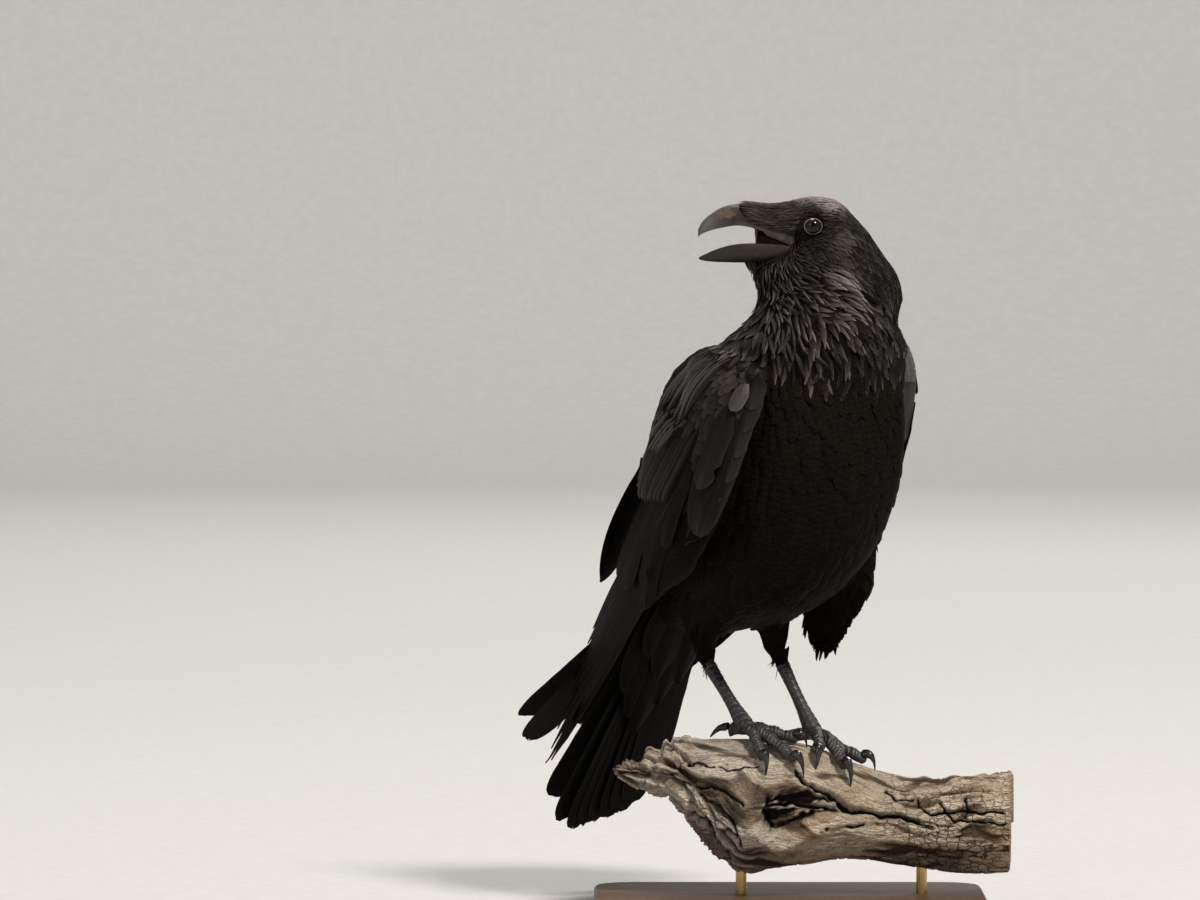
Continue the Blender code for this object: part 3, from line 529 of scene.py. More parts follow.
for strength, colour in (
    (colour_ramp(tree, patches, (0.52, 0), (0.72, 0.6)), (0.46, 0.270, 0.145, 1)),  # warmer patches
    (colour_ramp(tree, fibres, (0.38, 0.70), (0.50, 0)), (0.20, 0.125, 0.080, 1)),  # dark fibres
    (times(tree, colour_ramp(tree, crumble, (0.35, 1), (0.45, 0)), 0.88), (0.105, 0.060, 0.034, 1)),  # pits
    (times(tree, lines, 0.42), (0.13, 0.080, 0.050, 1)),
    (times(tree, stain, 0.72), (0.115, 0.055, 0.028, 1)),
    # painted shade in the crazing
    (times(tree, gap, 0.92), (0.030, 0.016, 0.009, 1)),
    # painted shade in the cracks, the hollow and the grain's valleys
    (colour_ramp(tree, crack_shade, (0.15, 0), (0.45, 0.45), (0.70, 1)), (0.014, 0.008, 0.005, 1)),
):
    wood = mix_colours(tree, strength, wood, colour)
rings = add_node(
    tree, "ShaderNodeTexWave", {"wave_type": "RINGS", "rings_direction": "X"},
    Vector=object_place(tree), Scale=110.0, Distortion=2.5, Detail=2.0,
).outputs["Fac"]
cut_face = colour_ramp(tree, rings, (0.2, (0.42, 0.27, 0.15)), (0.8, (0.62, 0.46, 0.30)))
relief = minus(tree, plus(tree, fibres, times(tree, crumble, 1.6)), times(tree, lines, 0.5))
relief = minus(tree, relief, times(tree, gap, 1.2))
feed(
    shader,
    Base_Color=mix_colours(tree, end_grain, wood, cut_face),
    Roughness=colour_ramp(tree, fibres, (0.2, 0.90), (0.8, 0.68)),
    Normal=add_bump(tree, relief, 1.0, 0.0038),
    Specular_IOR_Level=0.30,
)
perch.data.materials.append(dead_wood)
thin = perch.modifiers.new("thin", "DECIMATE")  # the relief is kept, with fewer faces on the flat stretches
thin.ratio = PERCH_FACES_KEPT
apply_all(perch)
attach(perch, "root")
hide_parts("perch")

# ---- skin ------------------------------------------------------------------------------------------------
# One closed skin runs from the crown over neck, trunk, folded wings and feathered legs, and lies inside the
# plumage by the coat's depth. It is nearly black, as the down under a raven's feathers looks.

FORWARD = np.array([math.sqrt(0.5), -math.sqrt(0.5), 0.0])
RIGHT = np.array([-math.sqrt(0.5), -math.sqrt(0.5), 0.0])
UP = np.array([0.0, 0.0, 1.0])
FEET = np.array([-0.003, -0.004, 0.0])
HEAD = np.array([0.027, -0.035, 0.0])
EYE_PLACE = (0.0115, 0.0212, 0.5070)  # ahead of the head's centre, to either side, height
EYE_RADIUS = 0.0072
EYE_CLEARANCE = 0.0074
LEFT_WING_SHIFT = np.array([0.008, 0.005, 0.009])
SKIN_CELL = 0.0022
# how deep the coat is over each part
COAT_DEPTH = {
    "head": 0.0013, "neck": 0.0034, "trunk": 0.0046, "rump": 0.0046, "thigh_left": 0.0022,
    "thigh_right": 0.0022,
    "flank_left": 0.0050, "wing_left_coverts": 0.0036, "wing_right_coverts": 0.0036,
}
# folded wing: ahead, aside, height, half width, half thickness and lean in degrees, from wrist to tip
WING_STATIONS = (
    (0.043, 0.073, 0.399, 0.011, 0.007, 12), (0.021, 0.075, 0.396, 0.034, 0.011, 15),
    (-0.001, 0.075, 0.377, 0.053, 0.014, 19), (-0.017, 0.072, 0.346, 0.063, 0.015, 23),
    (-0.038, 0.069, 0.316, 0.067, 0.015, 27), (-0.068, 0.063, 0.286, 0.062, 0.013, 30),
    (-0.101, 0.055, 0.259, 0.051, 0.010, 31), (-0.131, 0.046, 0.230, 0.039, 0.0075, 32),
    (-0.159, 0.037, 0.197, 0.027, 0.0055, 32), (-0.188, 0.029, 0.162, 0.017, 0.0042, 32),
    (-0.213, 0.022, 0.131, 0.010, 0.0030, 32), (-0.234, 0.017, 0.103, 0.0045, 0.0016, 32),
)


def bird(f, r, z):
    """f ahead of the feet, r to the bird's right, z above the floor; numbers or arrays."""
    return FEET + np.multiply.outer(f, FORWARD) + np.multiply.outer(r, RIGHT) + np.multiply.outer(z, UP)


def head_at(ahead, left, z):
    """The head looks along the branch to its broken end, with its left side to the front."""
    ahead, left, z = np.broadcast_arrays(ahead, left, z)
    return HEAD + np.stack([-ahead, -left, z], -1)


def eye_at(side, further_out=0.0):
    """The middle of an eye; side is 1 for the left one."""
    ahead, aside, high = EYE_PLACE
    return head_at(ahead, (aside + further_out) * side, high)


def smooth_rows(rows, steps):
    """Puts rows between each two, on a curve through them all."""
    rows = np.array(rows, dtype=float)
    made = []
    for i in range(len(rows) - 1):
        a, b, c, d = rows[max(i - 1, 0)], rows[i], rows[i + 1], rows[min(i + 2, len(rows) - 1)]
        for t in np.arange(steps) / steps:
            made.append(
                0.5
                * (
                    (-t + 2 * t**2 - t**3) * a + (2 - 5 * t**2 + 3 * t**3) * b + (t + 4 * t**2 - 3 * t**3) * c
                    + (t**3 - t**2) * d
                )
            )
    return np.array(made + [rows[-1]])


DIAGONAL = math.sqrt(0.5)
WRIST_AHEAD, WRIST_HIGH = WING_STATIONS[0][0], WING_STATIONS[0][2]
wing_rows = smooth_rows(WING_STATIONS, 6)
# the same rows measured from the wrist: a runs down the folded wing, b across it to its back edge
wing_a = -((wing_rows[:, 0] - WRIST_AHEAD) + (wing_rows[:, 2] - WRIST_HIGH)) * DIAGONAL
wing_b = ((wing_rows[:, 2] - WRIST_HIGH) - (wing_rows[:, 0] - WRIST_AHEAD)) * DIAGONAL


def wing_at(side, a, b, h):
    """A point on the outside of a folded wing, h off its surface; side is 1 for the right wing."""
    a, b, h = (np.asarray(v, dtype=float) for v in np.broadcast_arrays(a, b, h))
    middle, aside, half, thick, lean = (
        np.interp(a, wing_a, v) for v in (wing_b, *wing_rows[:, [1, 3, 4, 5]].T)
    )
    lean = np.radians(lean)
    off = b - middle
    swell = thick * (1 - 0.75 * np.clip((off / np.cos(lean) / np.maximum(half, 0.012)) ** 2, 0, 1.6))
    out = (aside - np.tan(lean) * off + (swell + h) / np.cos(lean)) * side
    place = bird(WRIST_AHEAD - (a + b) * DIAGONAL, out, WRIST_HIGH + (b - a) * DIAGONAL)
    return place if side > 0 else place + LEFT_WING_SHIFT


def wing_measure(side, points):
    """Where points are on a folded wing: a and b."""
    flat = points - FEET - (0 if side > 0 else LEFT_WING_SHIFT)
    ahead, high = flat @ FORWARD - WRIST_AHEAD, flat[:, 2] - WRIST_HIGH
    return -(ahead + high) * DIAGONAL, (high - ahead) * DIAGONAL


def tree_of(mesh):
    faces = [tuple(p.vertices) for p in mesh.polygons]
    return BVHTree.FromPolygons([tuple(p) for p in read_points(mesh)], faces)


def nearest_part(points, names):
    """For each point, which of the named solids is nearest."""
    best = np.full(len(points), 1e9)
    which = np.zeros(len(points), dtype=int)
    for k, name in enumerate(names):
        tree = tree_of(frame["nodes"][name].data)
        away = np.array([(tree.find_nearest(p) or (0, 0, 0, 1e9))[3] for p in points])
        which[away < best] = k
        best = np.minimum(best, away)
    return which


def draw_in(points):
    """How much closer in the left wing is held, round the middle of its front edge."""
    return 0.0100 * smooth_step(points[:, 0], 0.060, 0.085) * unit(1 - ((points[:, 2] - 0.319) / 0.055) ** 2)


flesh = list(COAT_DEPTH)
skin = melt("skin", flesh, SKIN_CELL, 0.0003)
edges = read_edges(skin.data)
points = relax(read_points(skin.data), edges, 5)
part_of = nearest_part(points, flesh)
depth = np.array([COAT_DEPTH[n] for n in flesh])[part_of]
# the wing's blunt inner end thins away under the flight feathers
for side, word in ((1, "right"), (-1, "left")):
    a, b = wing_measure(side, points)
    on_wing = part_of == flesh.index(f"wing_{word}_coverts")
    depth = np.where(on_wing, depth + 0.0075 * smooth_step(a, 0.125, 0.185), depth)
    depth = np.where(on_wing, depth + 0.0020 * smooth_step(b, -0.015, -0.050), depth)
ahead = HEAD[0] - points[:, 0]
depth = np.where(part_of == flesh.index("wing_left_coverts"), depth + draw_in(points), depth)
depth = np.where(
    points[:, 2] > 0.47,
    depth + 0.0028 * smooth_step(ahead, 0.0, -0.018) * smooth_step(points[:, 2], 0.47, 0.49), depth,
)
depth = relax(depth[:, None], edges, 6)[:, 0]
write_points(skin.data, points)
points = relax(points - read_points(skin.data, "normal") * depth[:, None], edges, 3)
for side in (-1, 1):  # the socket round each eye
    away = np.linalg.norm(points - eye_at(side), axis=1)
    points[:, 1] += side * 0.0022 * np.exp(-((away / 0.0085) ** 4))
write_points(skin.data, points)
select_only(skin)
bpy.ops.object.mode_set(mode="EDIT")
bpy.ops.mesh.select_all(action="SELECT")
bpy.ops.uv.smart_project(angle_limit=math.radians(62), island_margin=0.001)
bpy.ops.object.mode_set(mode="OBJECT")
skin.data.uv_layers[0].name = "OFBake"

down = mottled_material(
    "black_down", (420, 420, 420), 3.0, ((0.3, (0.002, 0.0015, 0.0013)), (0.7, (0.006, 0.005, 0.0045))),
    ((0.3, 0.75), (0.7, 0.9)), (0.6, 0.0012), 0.05,
)
skin.data.materials.append(down)
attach(skin, "root")
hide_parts(*flesh)

# ---- plumage ---------------------------------------------------------------------------------------------
# Thousands of separate vanes, each a thin closed leaf with a raised shaft, grown from the skin in rows and
# combed along the lie of the coat. Sizes change from 4 mm on the face to 35 mm on the belly.

skin_points = read_points(skin.data)
skin_faces = np.array([tuple(p.vertices) for p in skin.data.polygons if len(p.vertices) == 4])
skin_tree = BVHTree.FromPolygons([tuple(p) for p in skin_points], [tuple(f) for f in skin_faces])
point_normals = read_points(skin.data, "normal")
face_normals = point_normals[skin_faces].mean(1)
face_normals /= np.linalg.norm(face_normals, axis=1, keepdims=True)
skin_unwrap = np.empty(len(skin.data.loops) * 2)
skin.data.uv_layers["OFBake"].data.foreach_get("uv", skin_unwrap)
starts = np.array([p.loop_start for p in skin.data.polygons if len(p.vertices) == 4])
face_unwrap = skin_unwrap.reshape(-1, 2)[starts[:, None] + np.arange(4)].mean(1)
face_part = part_of[skin_faces[:, 0]]

# guides on the trunk: place (ahead, aside, height), lie (ahead, aside, up),
# length, width, spacing and lift in mm, tone and gloss
TRUNK_GUIDES = (
    (0.075, 0.030, 0.385, 0.10, 0.05, -1, 22, 9.0, 6.0, 3.0, 0.080, 0.12),
    (0.088, 0.030, 0.330, 0.02, 0.03, -1, 30, 12, 7.5, 3.4, 0.065, 0.12),
    (0.085, 0.025, 0.285, -0.20, 0.02, -1, 32, 13, 8.0, 3.4, 0.055, 0.10),
    (0.055, 0.030, 0.235, -0.65, 0.0, -0.8, 34, 13, 8.0, 3.4, 0.055, 0.10),
    (0.010, 0.030, 0.200, -0.9, 0.0, -0.45, 32, 12, 8.0, 3.2, 0.045, 0.08),
    (-0.060, 0.020, 0.190, -1, 0.0, -0.20, 32, 11, 7.5, 3.2, 0.045, 0.08),
    (-0.110, 0.010, 0.190, -0.9, 0.0, -0.55, 32, 11, 7.0, 3.0, 0.045, 0.08),
    (0.050, 0.070, 0.340, -0.15, 0.02, -1, 28, 12, 7.5, 3.2, 0.065, 0.12),
    (0.030, 0.075, 0.280, -0.30, 0.0, -1, 30, 12, 7.5, 3.2, 0.055, 0.10),
    (-0.010, 0.070, 0.240, -0.55, 0.0, -0.85, 30, 11, 7.5, 3.2, 0.055, 0.10),
    (-0.060, 0.055, 0.225, -0.7, 0.0, -0.7, 30, 11, 7.5, 3.2, 0.055, 0.10),
    (0.030, 0.050, 0.415, -0.25, 0.25, -0.9, 18, 9.5, 6.0, 2.8, 0.120, 0.20),
    (-0.020, 0.055, 0.425, -0.55, 0.12, -0.8, 17, 10, 6.0, 2.6, 0.248, 0.25),
    (-0.030, 0.015, 0.430, -0.6, 0.02, -0.8, 17, 10, 6.0, 2.6, 0.220, 0.25),
    (-0.070, 0.045, 0.390, -0.55, 0.02, -0.83, 22, 12, 7.0, 3.0, 0.144, 0.25),
    (-0.090, 0.015, 0.360, -0.55, 0.0, -0.83, 25, 13, 8.0, 3.2, 0.260, 0.22),
    (-0.125, 0.030, 0.300, -0.6, 0.0, -0.8, 28, 14, 9.0, 3.2, 0.200, 0.19),
    (-0.145, 0.010, 0.260, -0.65, 0.0, -0.76, 30, 15, 9.0, 3.2, 0.200, 0.22),
    (-0.150, 0.010, 0.225, -0.65, 0.0, -0.76, 30, 14, 9.0, 3.0, 0.180, 0.22),
    (-0.014, -0.050, 0.215, -0.10, 0.0, -1, 27, 5.0, 4.2, 3.2, 0.070, 0.14),
)
# guides on neck and head: place (ahead of the head's centre, aside, height), lie (ahead, aside, up), and the
# rest as above. Their tone paints light: highlights on the crown and on three bright patches of hackles down
# the throat's side, and a pale sheen on the patch behind the eye.
HEAD_GUIDES = (
    # the crown: tone 1, a painted highlight
    (0.027, 0.000, 0.523, -1, 0, 0.25, 4, 1.5, 1.35, 0.8, 1, 0.8),
    (0.005, 0.000, 0.531, -1, 0, -0.08, 5, 2.1, 1.7, 0.8, 1, 0.95),
    (0.006, 0.015, 0.525, -1, 0.1, -0.1, 4.8, 2, 1.6, 0.8, 1, 0.85),
    (-0.020, 0.000, 0.520, -0.8, 0, -0.6, 7, 2.6, 2.1, 0.6, 0.033, 0.2),
    (-0.034, 0.000, 0.500, -0.3, 0, -1, 9, 3.2, 2.5, 0.4, 0.0138, 0.05),
    (-0.042, 0.000, 0.475, -0.15, 0, -1, 12, 4.2, 3.2, 0.6, 0.0138, 0.04),
    (-0.030, 0.022, 0.480, -0.35, 0.05, -0.95, 11, 3.6, 2.9, 0.6, 0.0165, 0.06),
    (-0.018, 0.018, 0.510, -0.9, 0.1, -0.5, 6.5, 2.4, 2, 0.6, 0.0248, 0.15),
    (0.024, 0.014, 0.507, -0.9, 0.35, -0.1, 3.2, 0.9, 1.15, 0.8, 0.0396, 0.25),
    (0.012, 0.019, 0.518, -1, 0.1, 0.05, 3.6, 1.5, 1.35, 0.8, 0.0792, 0.35),
    (-0.001, 0.024, 0.508, -1, 0.05, -0.15, 4.6, 1.6, 1.5, 0.8, 0.0396, 0.25),
    (0.012, 0.024, 0.494, -1, 0.15, -0.25, 4.4, 1.4, 1.4, 0.8, 0.0356, 0.25),
    # behind the eye: raised tone, a painted sheen
    (-0.012, 0.026, 0.499, -0.9, 0.05, -0.4, 6, 2.2, 1.9, 1.3, 0.2455, 0.5),
    (-0.024, 0.024, 0.488, -0.6, 0.05, -0.8, 8.5, 2.6, 2.2, 0.7, 0.0192, 0.1),
    (0.008, 0.027, 0.483, -0.85, 0.1, -0.45, 6.5, 1.8, 1.8, 1.2, 0.0515, 0.3),
    (0.024, 0.010, 0.484, -0.45, 0, -0.9, 7, 1.3, 1.6, 1.6, 0.0554, 0.12),
    (0.034, 0.010, 0.480, -0.25, 0, -1, 10, 1.9, 2.3, 2.4, 0.0634, 0.12),
    (0.052, 0.000, 0.470, -0.2, 0, -1, 12, 2.2, 2.8, 3, 0.0446, 0.12),
    (0.042, 0.024, 0.468, -0.4, 0, -0.9, 12, 2.4, 2.9, 3, 0.0372, 0.1),
    (0.024, 0.034, 0.466, -0.8, 0.05, -0.6, 13, 2.8, 3.1, 3, 0.0558, 0.14),
    # bright hackles down the throat's side: their tone is a painted highlight
    (0.002, 0.037, 0.463, -0.95, 0.05, -0.45, 15, 3.8, 3.7, 3.4, 0.76, 1.3),
    (-0.012, 0.040, 0.452, -0.95, 0.05, -0.5, 17, 4.4, 4, 3.6, 0.902, 1.5),
    (-0.028, 0.034, 0.462, -0.65, 0.05, -0.75, 13, 3.6, 3.4, 1.6, 0.0298, 0.14),
    (0.050, 0.015, 0.447, -0.2, 0.1, -1, 16, 3.6, 3.9, 3.4, 0.0558, 0.1),
    (0.030, 0.040, 0.445, -0.5, 0.1, -0.85, 16, 4, 4.1, 3.6, 0.0744, 0.14),
    # more bright hackles: their tone is a painted highlight
    (0.004, 0.046, 0.440, -0.85, 0.1, -0.6, 18, 4.8, 4.3, 3.8, 0.665, 1.1),
    (0.040, 0.040, 0.424, -0.1, 0.1, -1, 18, 5, 4.8, 3.2, 0.062, 0.12),
    (0.000, 0.058, 0.424, -0.4, 0.1, -0.92, 18, 5.8, 5, 3.4, 0.0645, 0.315),
    (-0.030, 0.045, 0.440, -0.5, 0.1, -0.85, 14, 6, 4.6, 1.8, 0.0409, 0.14),
    (-0.050, 0.000, 0.450, -0.2, 0, -1, 15, 6.5, 4.8, 1.4, 0.017, 0.035),
    (-0.055, 0.020, 0.430, -0.3, 0.1, -0.95, 15, 8, 5.4, 2, 0.0205, 0.035),
)


def world_guides():
    """Both sides' guides as one table in the model's own axes, sizes in metres."""
    made = []
    for rows, at, axes in (
        (TRUNK_GUIDES, bird, (FORWARD, RIGHT)),
        (HEAD_GUIDES, head_at, (np.array([-1.0, 0, 0]), np.array([0, -1.0, 0]))),
    ):
        for row in rows:
            for side in (1, -1) if abs(row[1]) > 0.001 and row[6] != 27 else (1,):
                place = at(row[0], row[1] * side, row[2])
                lie = axes[0] * row[3] + axes[1] * row[4] * side + UP * row[5]
                made.append([*place, *(lie / np.linalg.norm(lie)), *(v / 1000 for v in row[6:10]), *row[10:]])
    return np.array(made)


def blend_guides(points, table):
    """Lie, length, width, spacing, lift, tone and gloss at each point, from the guides round it."""
    away = ((points[:, None, :] - table[None, :, :3]) ** 2).sum(2) + 4e-6
    weight = away**-2.2
    return (weight / weight.sum(1, keepdims=True)) @ table[:, 3:]


def snap_to_skin(points):
    place = np.empty_like(points)
    face = np.empty(len(points), dtype=int)
    for i, p in enumerate(points):
        found = skin_tree.find_nearest(p)
        place[i] = found[0]
        face[i] = found[2]
    return place, face_normals[face], face


def scatter_roots(faces, table, tries, seed, closer=1.0):
    """Roots strewn over some of the skin's faces, none nearer to another than the spacing there."""
    dice = np.random.default_rng(seed)
    corners = skin_points[skin_faces[faces]]
    area = np.linalg.norm(np.cross(corners[:, 2] - corners[:, 0], corners[:, 3] - corners[:, 1]), axis=1)
    pick = dice.choice(len(faces), tries, p=area / area.sum())
    s, t = dice.random((2, tries, 1))
    c = corners[pick]
    tried = (c[:, 0] * (1 - s) + c[:, 1] * s) * (1 - t) + (c[:, 3] * (1 - s) + c[:, 2] * s) * t
    gap = blend_guides(tried, table)[:, 5] * closer
    cell = gap.max()
    boxes = {}
    kept = []
    around = [(i, j, k) for i in (-1, 0, 1) for j in (-1, 0, 1) for k in (-1, 0, 1)]
    keys = np.floor(tried / cell).astype(int)
    for i, (key, p, g) in enumerate(zip(map(tuple, keys), tried.tolist(), gap)):
        if any(
            (p[0] - q[0]) ** 2 + (p[1] - q[1]) ** 2 + (p[2] - q[2]) ** 2 < g * g
            for d in around
            for q in boxes.get((key[0] + d[0], key[1] + d[1], key[2] + d[2]), ())
        ):
            continue
        boxes.setdefault(key, []).append(p)
        kept.append(i)
    return tried[kept]


def open_to_air(points, reach=0.016):
    """Leaves out the roots that lie under a wing or between the legs, close against other skin."""
    place, normal, _ = snap_to_skin(points)
    free = [skin_tree.ray_cast(p + n * 0.0015, n, reach)[0] is None for p, n in zip(place, normal)]
    return points[np.array(free)]


# outlines: half the width at each share v of a vane's length
def rounded_vane(v):
    return unit(0.40 + 2.4 * v) * np.sqrt(unit(1 - (unit(v - 0.60) / 0.41) ** 2))


def lance_vane(v):
    return unit(0.45 + 2.2 * v) * unit(1 - v) ** 0.62 * 1.15


def hair_vane(v):
    return 0.9 * unit(1 - v) ** 0.5 + 0.06


def feather_mesh(name, points, corners, starts, unwraps, values):
    """One mesh of faces given by their corners and starts, with unwraps and painted values by point."""
    mesh = bpy.data.meshes.new(name)
    mesh.vertices.add(len(points))
    mesh.vertices.foreach_set("co", points.astype(np.float32).ravel())
    mesh.loops.add(len(corners))
    mesh.loops.foreach_set("vertex_index", corners.astype(np.int32))
    mesh.polygons.add(len(starts))
    mesh.polygons.foreach_set("loop_start", starts.astype(np.int32))
    mesh.update(calc_edges=True)
    mesh.validate()
    for layer, flat in zip(("OFBake", "Vane"), unwraps):
        mesh.uv_layers.new(name=layer).data.foreach_set("uv", flat[corners].astype(np.float32).ravel())
    # the tone stored here is each vane's own tone, with the painted highlights and painted shade given by
    # guides and blades
    for key, each in zip(("ToneAndPaintedLight", "Gloss", "Tip"), values):
        paint_points(mesh, key, each)
    made = bpy.data.objects.new(name, mesh)
    bpy.context.collection.objects.link(made)
    return made


def leaf_mesh(name, centre, along_up, half, lift, tone, gloss, unwrap, length, curl=0.22, thick=0.16):
    """Joins rows of points into closed leaves: centre, along_up and half come by row and leaf."""
    rows, count = half.shape
    ahead = np.gradient(centre, axis=0)
    ahead /= np.linalg.norm(ahead, axis=2, keepdims=True) + 1e-12
    side = np.cross(ahead, along_up)
    side /= np.linalg.norm(side, axis=2, keepdims=True) + 1e-12
    h = lift[:, :, None]
    w = half[:, :, None]
    columns = [
        centre - side * w + along_up * (h - curl * w),
        centre + along_up * (h + thick * w),
        centre + side * w + along_up * (h - curl * w),
    ]
    points = np.stack(columns, 2)  # rows, leaves, 3 across, xyz
    points = points.transpose(1, 0, 2, 3).reshape(-1, 3)
    first = np.arange(count) * rows * 3
    a = first[:, None] + np.arange(rows - 1) * 3
    sides = [[a + j, a + j + 1, a + j + 4, a + j + 3] for j in (0, 1)] + [[a + 2, a, a + 3, a + 5]]
    quads = np.concatenate([np.stack(each, -1).reshape(-1, 4) for each in sides])
    end = first + (rows - 1) * 3
    caps = np.concatenate(
        [np.stack([first, first + 2, first + 1], -1), np.stack([end, end + 1, end + 2], -1)]
    )
    corners = np.concatenate([quads.ravel(), caps.ravel()])
    starts = np.concatenate([np.arange(len(quads)) * 4, len(quads) * 4 + np.arange(len(caps)) * 3])
    # where a point is on its vane: across from 0 to 1, and along in centimetres
    v = np.linspace(0, 1, rows)[None, :, None] * np.ones((count, 1, 3))
    u = np.array([0.0, 0.5, 1.0])[None, None, :] * np.ones((count, rows, 1))
    vane = np.stack([u, v * (length * 100)[:, None, None]], -1).reshape(-1, 2)
    patch = (np.stack([u, v], -1) - 0.5) * 0.003 + unwrap[:, None, None, :]
    values = (np.repeat(tone, rows * 3), np.repeat(gloss, rows * 3), (v**2).ravel())
    return feather_mesh(name, points, corners, starts, (patch.reshape(-1, 2), vane), values)


def finish_feathers(made, finish):
    made.data.materials.append(finish)
    select_only(made)
    bpy.ops.object.shade_smooth_by_angle(angle=math.radians(50))
    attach(made, "root")


def grow_feathers(
    name, roots, table, finish, outline, rows, seed, longer=1.0, wander=0.16, jitter=0.0003, uneven=0.07,
    **cut,
):
    """Grows one vane from each root, combed along the lie and laid down on the skin."""
    dice = np.random.default_rng(seed)
    base, normal, face = snap_to_skin(roots)
    size = blend_guides(base, table)
    count = len(base)
    length = size[:, 3] * (1 + 0.14 * dice.standard_normal(count).clip(-2, 2)) * longer
    stray = wander * dice.standard_normal(count)[:, None]
    share = np.sin(np.linspace(0, 1, rows) * math.pi / 2) ** 0.92
    line, ups = [base], [normal]
    for k in range(1, rows):
        lie = blend_guides(line[-1], table)[:, :3]
        lie -= ups[-1] * (lie * ups[-1]).sum(1)[:, None]
        lie /= np.linalg.norm(lie, axis=1)[:, None] + 1e-9
        lie = lie + np.cross(ups[-1], lie) * stray
        step = (length * (share[k] - share[k - 1]))[:, None]
        target = line[-1] + lie * step
        place, normal, _ = snap_to_skin(target)
        # hangs free past the skin's edge
        loose = np.linalg.norm(place - target, axis=1)[:, None] > 0.55 * step
        line.append(np.where(loose, target, place))
        up = np.where(loose, ups[-1], 0.35 * ups[-1] + 0.65 * normal)
        ups.append(up / np.linalg.norm(up, axis=1)[:, None])
    keep = np.ones(count, dtype=bool)
    for side in (-1, 1):  # the eyes stay clear
        for place in line:
            keep &= np.linalg.norm(place - eye_at(side, 0.003), axis=1) > EYE_CLEARANCE
    v = share[:, None] * np.ones(count)
    half = (
        outline(v) * size[:, 4] / 2
        * (1 + 0.12 * dice.standard_normal((rows, count)).clip(-1.6, 1.6) * (v > 0.3))
    )
    lift = size[:, 6] * (0.12 + 0.88 * v) + dice.uniform(-0.5, 0.5, count) * jitter
    tone = size[:, 7] + uneven * dice.standard_normal(count)
    made = leaf_mesh(
        name, np.stack(line)[:, keep], np.stack(ups)[:, keep], half[:, keep], lift[:, keep], tone[keep],
        size[keep, 8],
        face_unwrap[face[keep]], length[keep], **cut
    )
    finish_feathers(made, finish)


# the vane: barbs slanting out from the shaft, a root painted darker as shade under the feathers that overlie
# it, paler worn edge, and a low sheen
vane_group = bpy.data.node_groups.new("vane_surface", "ShaderNodeTree")
for name, kind, value in (
    ("Dark", "NodeSocketColor", (0.010, 0.008, 0.0075, 1)),
    ("Light", "NodeSocketColor", (0.075, 0.062, 0.058, 1)),
    ("Barbs", "NodeSocketFloat", 9.0),
    ("Edge", "NodeSocketFloat", 0.4),
    ("Shaft", "NodeSocketFloat", 0.3),
    ("Root", "NodeSocketFloat", 0.5),
):
    vane_group.interface.new_socket(name=name, in_out="INPUT", socket_type=kind).default_value = value
for name, kind in (
    ("Colour", "NodeSocketColor"), ("Roughness", "NodeSocketFloat"), ("Height", "NodeSocketFloat")
):
    vane_group.interface.new_socket(name=name, in_out="OUTPUT", socket_type=kind)
given = vane_group.nodes.new("NodeGroupInput").outputs
tree = vane_group
place = add_node(tree, "ShaderNodeUVMap", {"uv_map": "Vane"}).outputs["UV"]
split = add_node(tree, "ShaderNodeSeparateXYZ", Vector=place).outputs
aside = math_node(tree, "ABSOLUTE", minus(tree, split["X"], 0.5))
slant = math_node(tree, "MULTIPLY_ADD", aside, -0.55, c=split["Y"])
combed = add_node(
    tree, "ShaderNodeCombineXYZ", X=times(tree, slant, given["Barbs"]), Y=times(tree, aside, 2.0)
).outputs[0]
barbs = add_node(
    tree, "ShaderNodeTexNoise", Vector=combed, Scale=1.0, Detail=3.0, Roughness=0.65
).outputs["Fac"]
# tone includes painted highlights and painted shade
tone, gloss, tip = (painted(tree, key) for key in ("ToneAndPaintedLight", "Gloss", "Tip"))
edge = colour_ramp(tree, aside, (0.34, 0), (0.50, 1))
ends = times(tree, math_node(tree, "MAXIMUM", edge, math_node(tree, "POWER", tip, 6.0)), given["Edge"])
quill = times(tree, colour_ramp(tree, aside, (0.0, 1), (0.045, 0)), given["Shaft"])
streak = times(tree, minus(tree, barbs, 0.5), 0.9)
level = plus(tree, plus(tree, tone, streak), plus(tree, ends, quill), True)
# painted shade: the vane darkens towards its root, where other feathers cover it
root_shade = times(tree, minus(tree, 1.0, math_node(tree, "POWER", tip, 0.5)), given["Root"])
level = times(tree, level, minus(tree, 1.0, root_shade), True)
shine = math_node(tree, "MULTIPLY_ADD", gloss, -0.38, c=0.66)
feed(
    vane_group.nodes.new("NodeGroupOutput"),
    Colour=mix_colours(tree, level, given["Dark"], given["Light"]),
    Roughness=plus(tree, shine, times(tree, streak, 0.25)),
    Height=plus(tree, barbs, times(tree, quill, 1.5)),
)


def vane_material(name, dark, light, barbs, edge, shaft, root, bump, gleam):
    """A feather finish: two colours, fineness of barbs, strength of edge, shaft, painted root shade, relief
    and gleam.
    """
    made, tree, shader = new_material(name)
    vane = tree.nodes.new("ShaderNodeGroup")
    vane.node_tree = vane_group
    feed(vane, Dark=(*dark, 1), Light=(*light, 1), Barbs=barbs, Edge=edge, Shaft=shaft, Root=root)
    feed(
        shader,
        Base_Color=vane.outputs["Colour"],
        Roughness=vane.outputs["Roughness"],
        Normal=add_bump(tree, vane.outputs["Height"], bump, 0.0006),
        Specular_IOR_Level=gleam,
    )
    return made


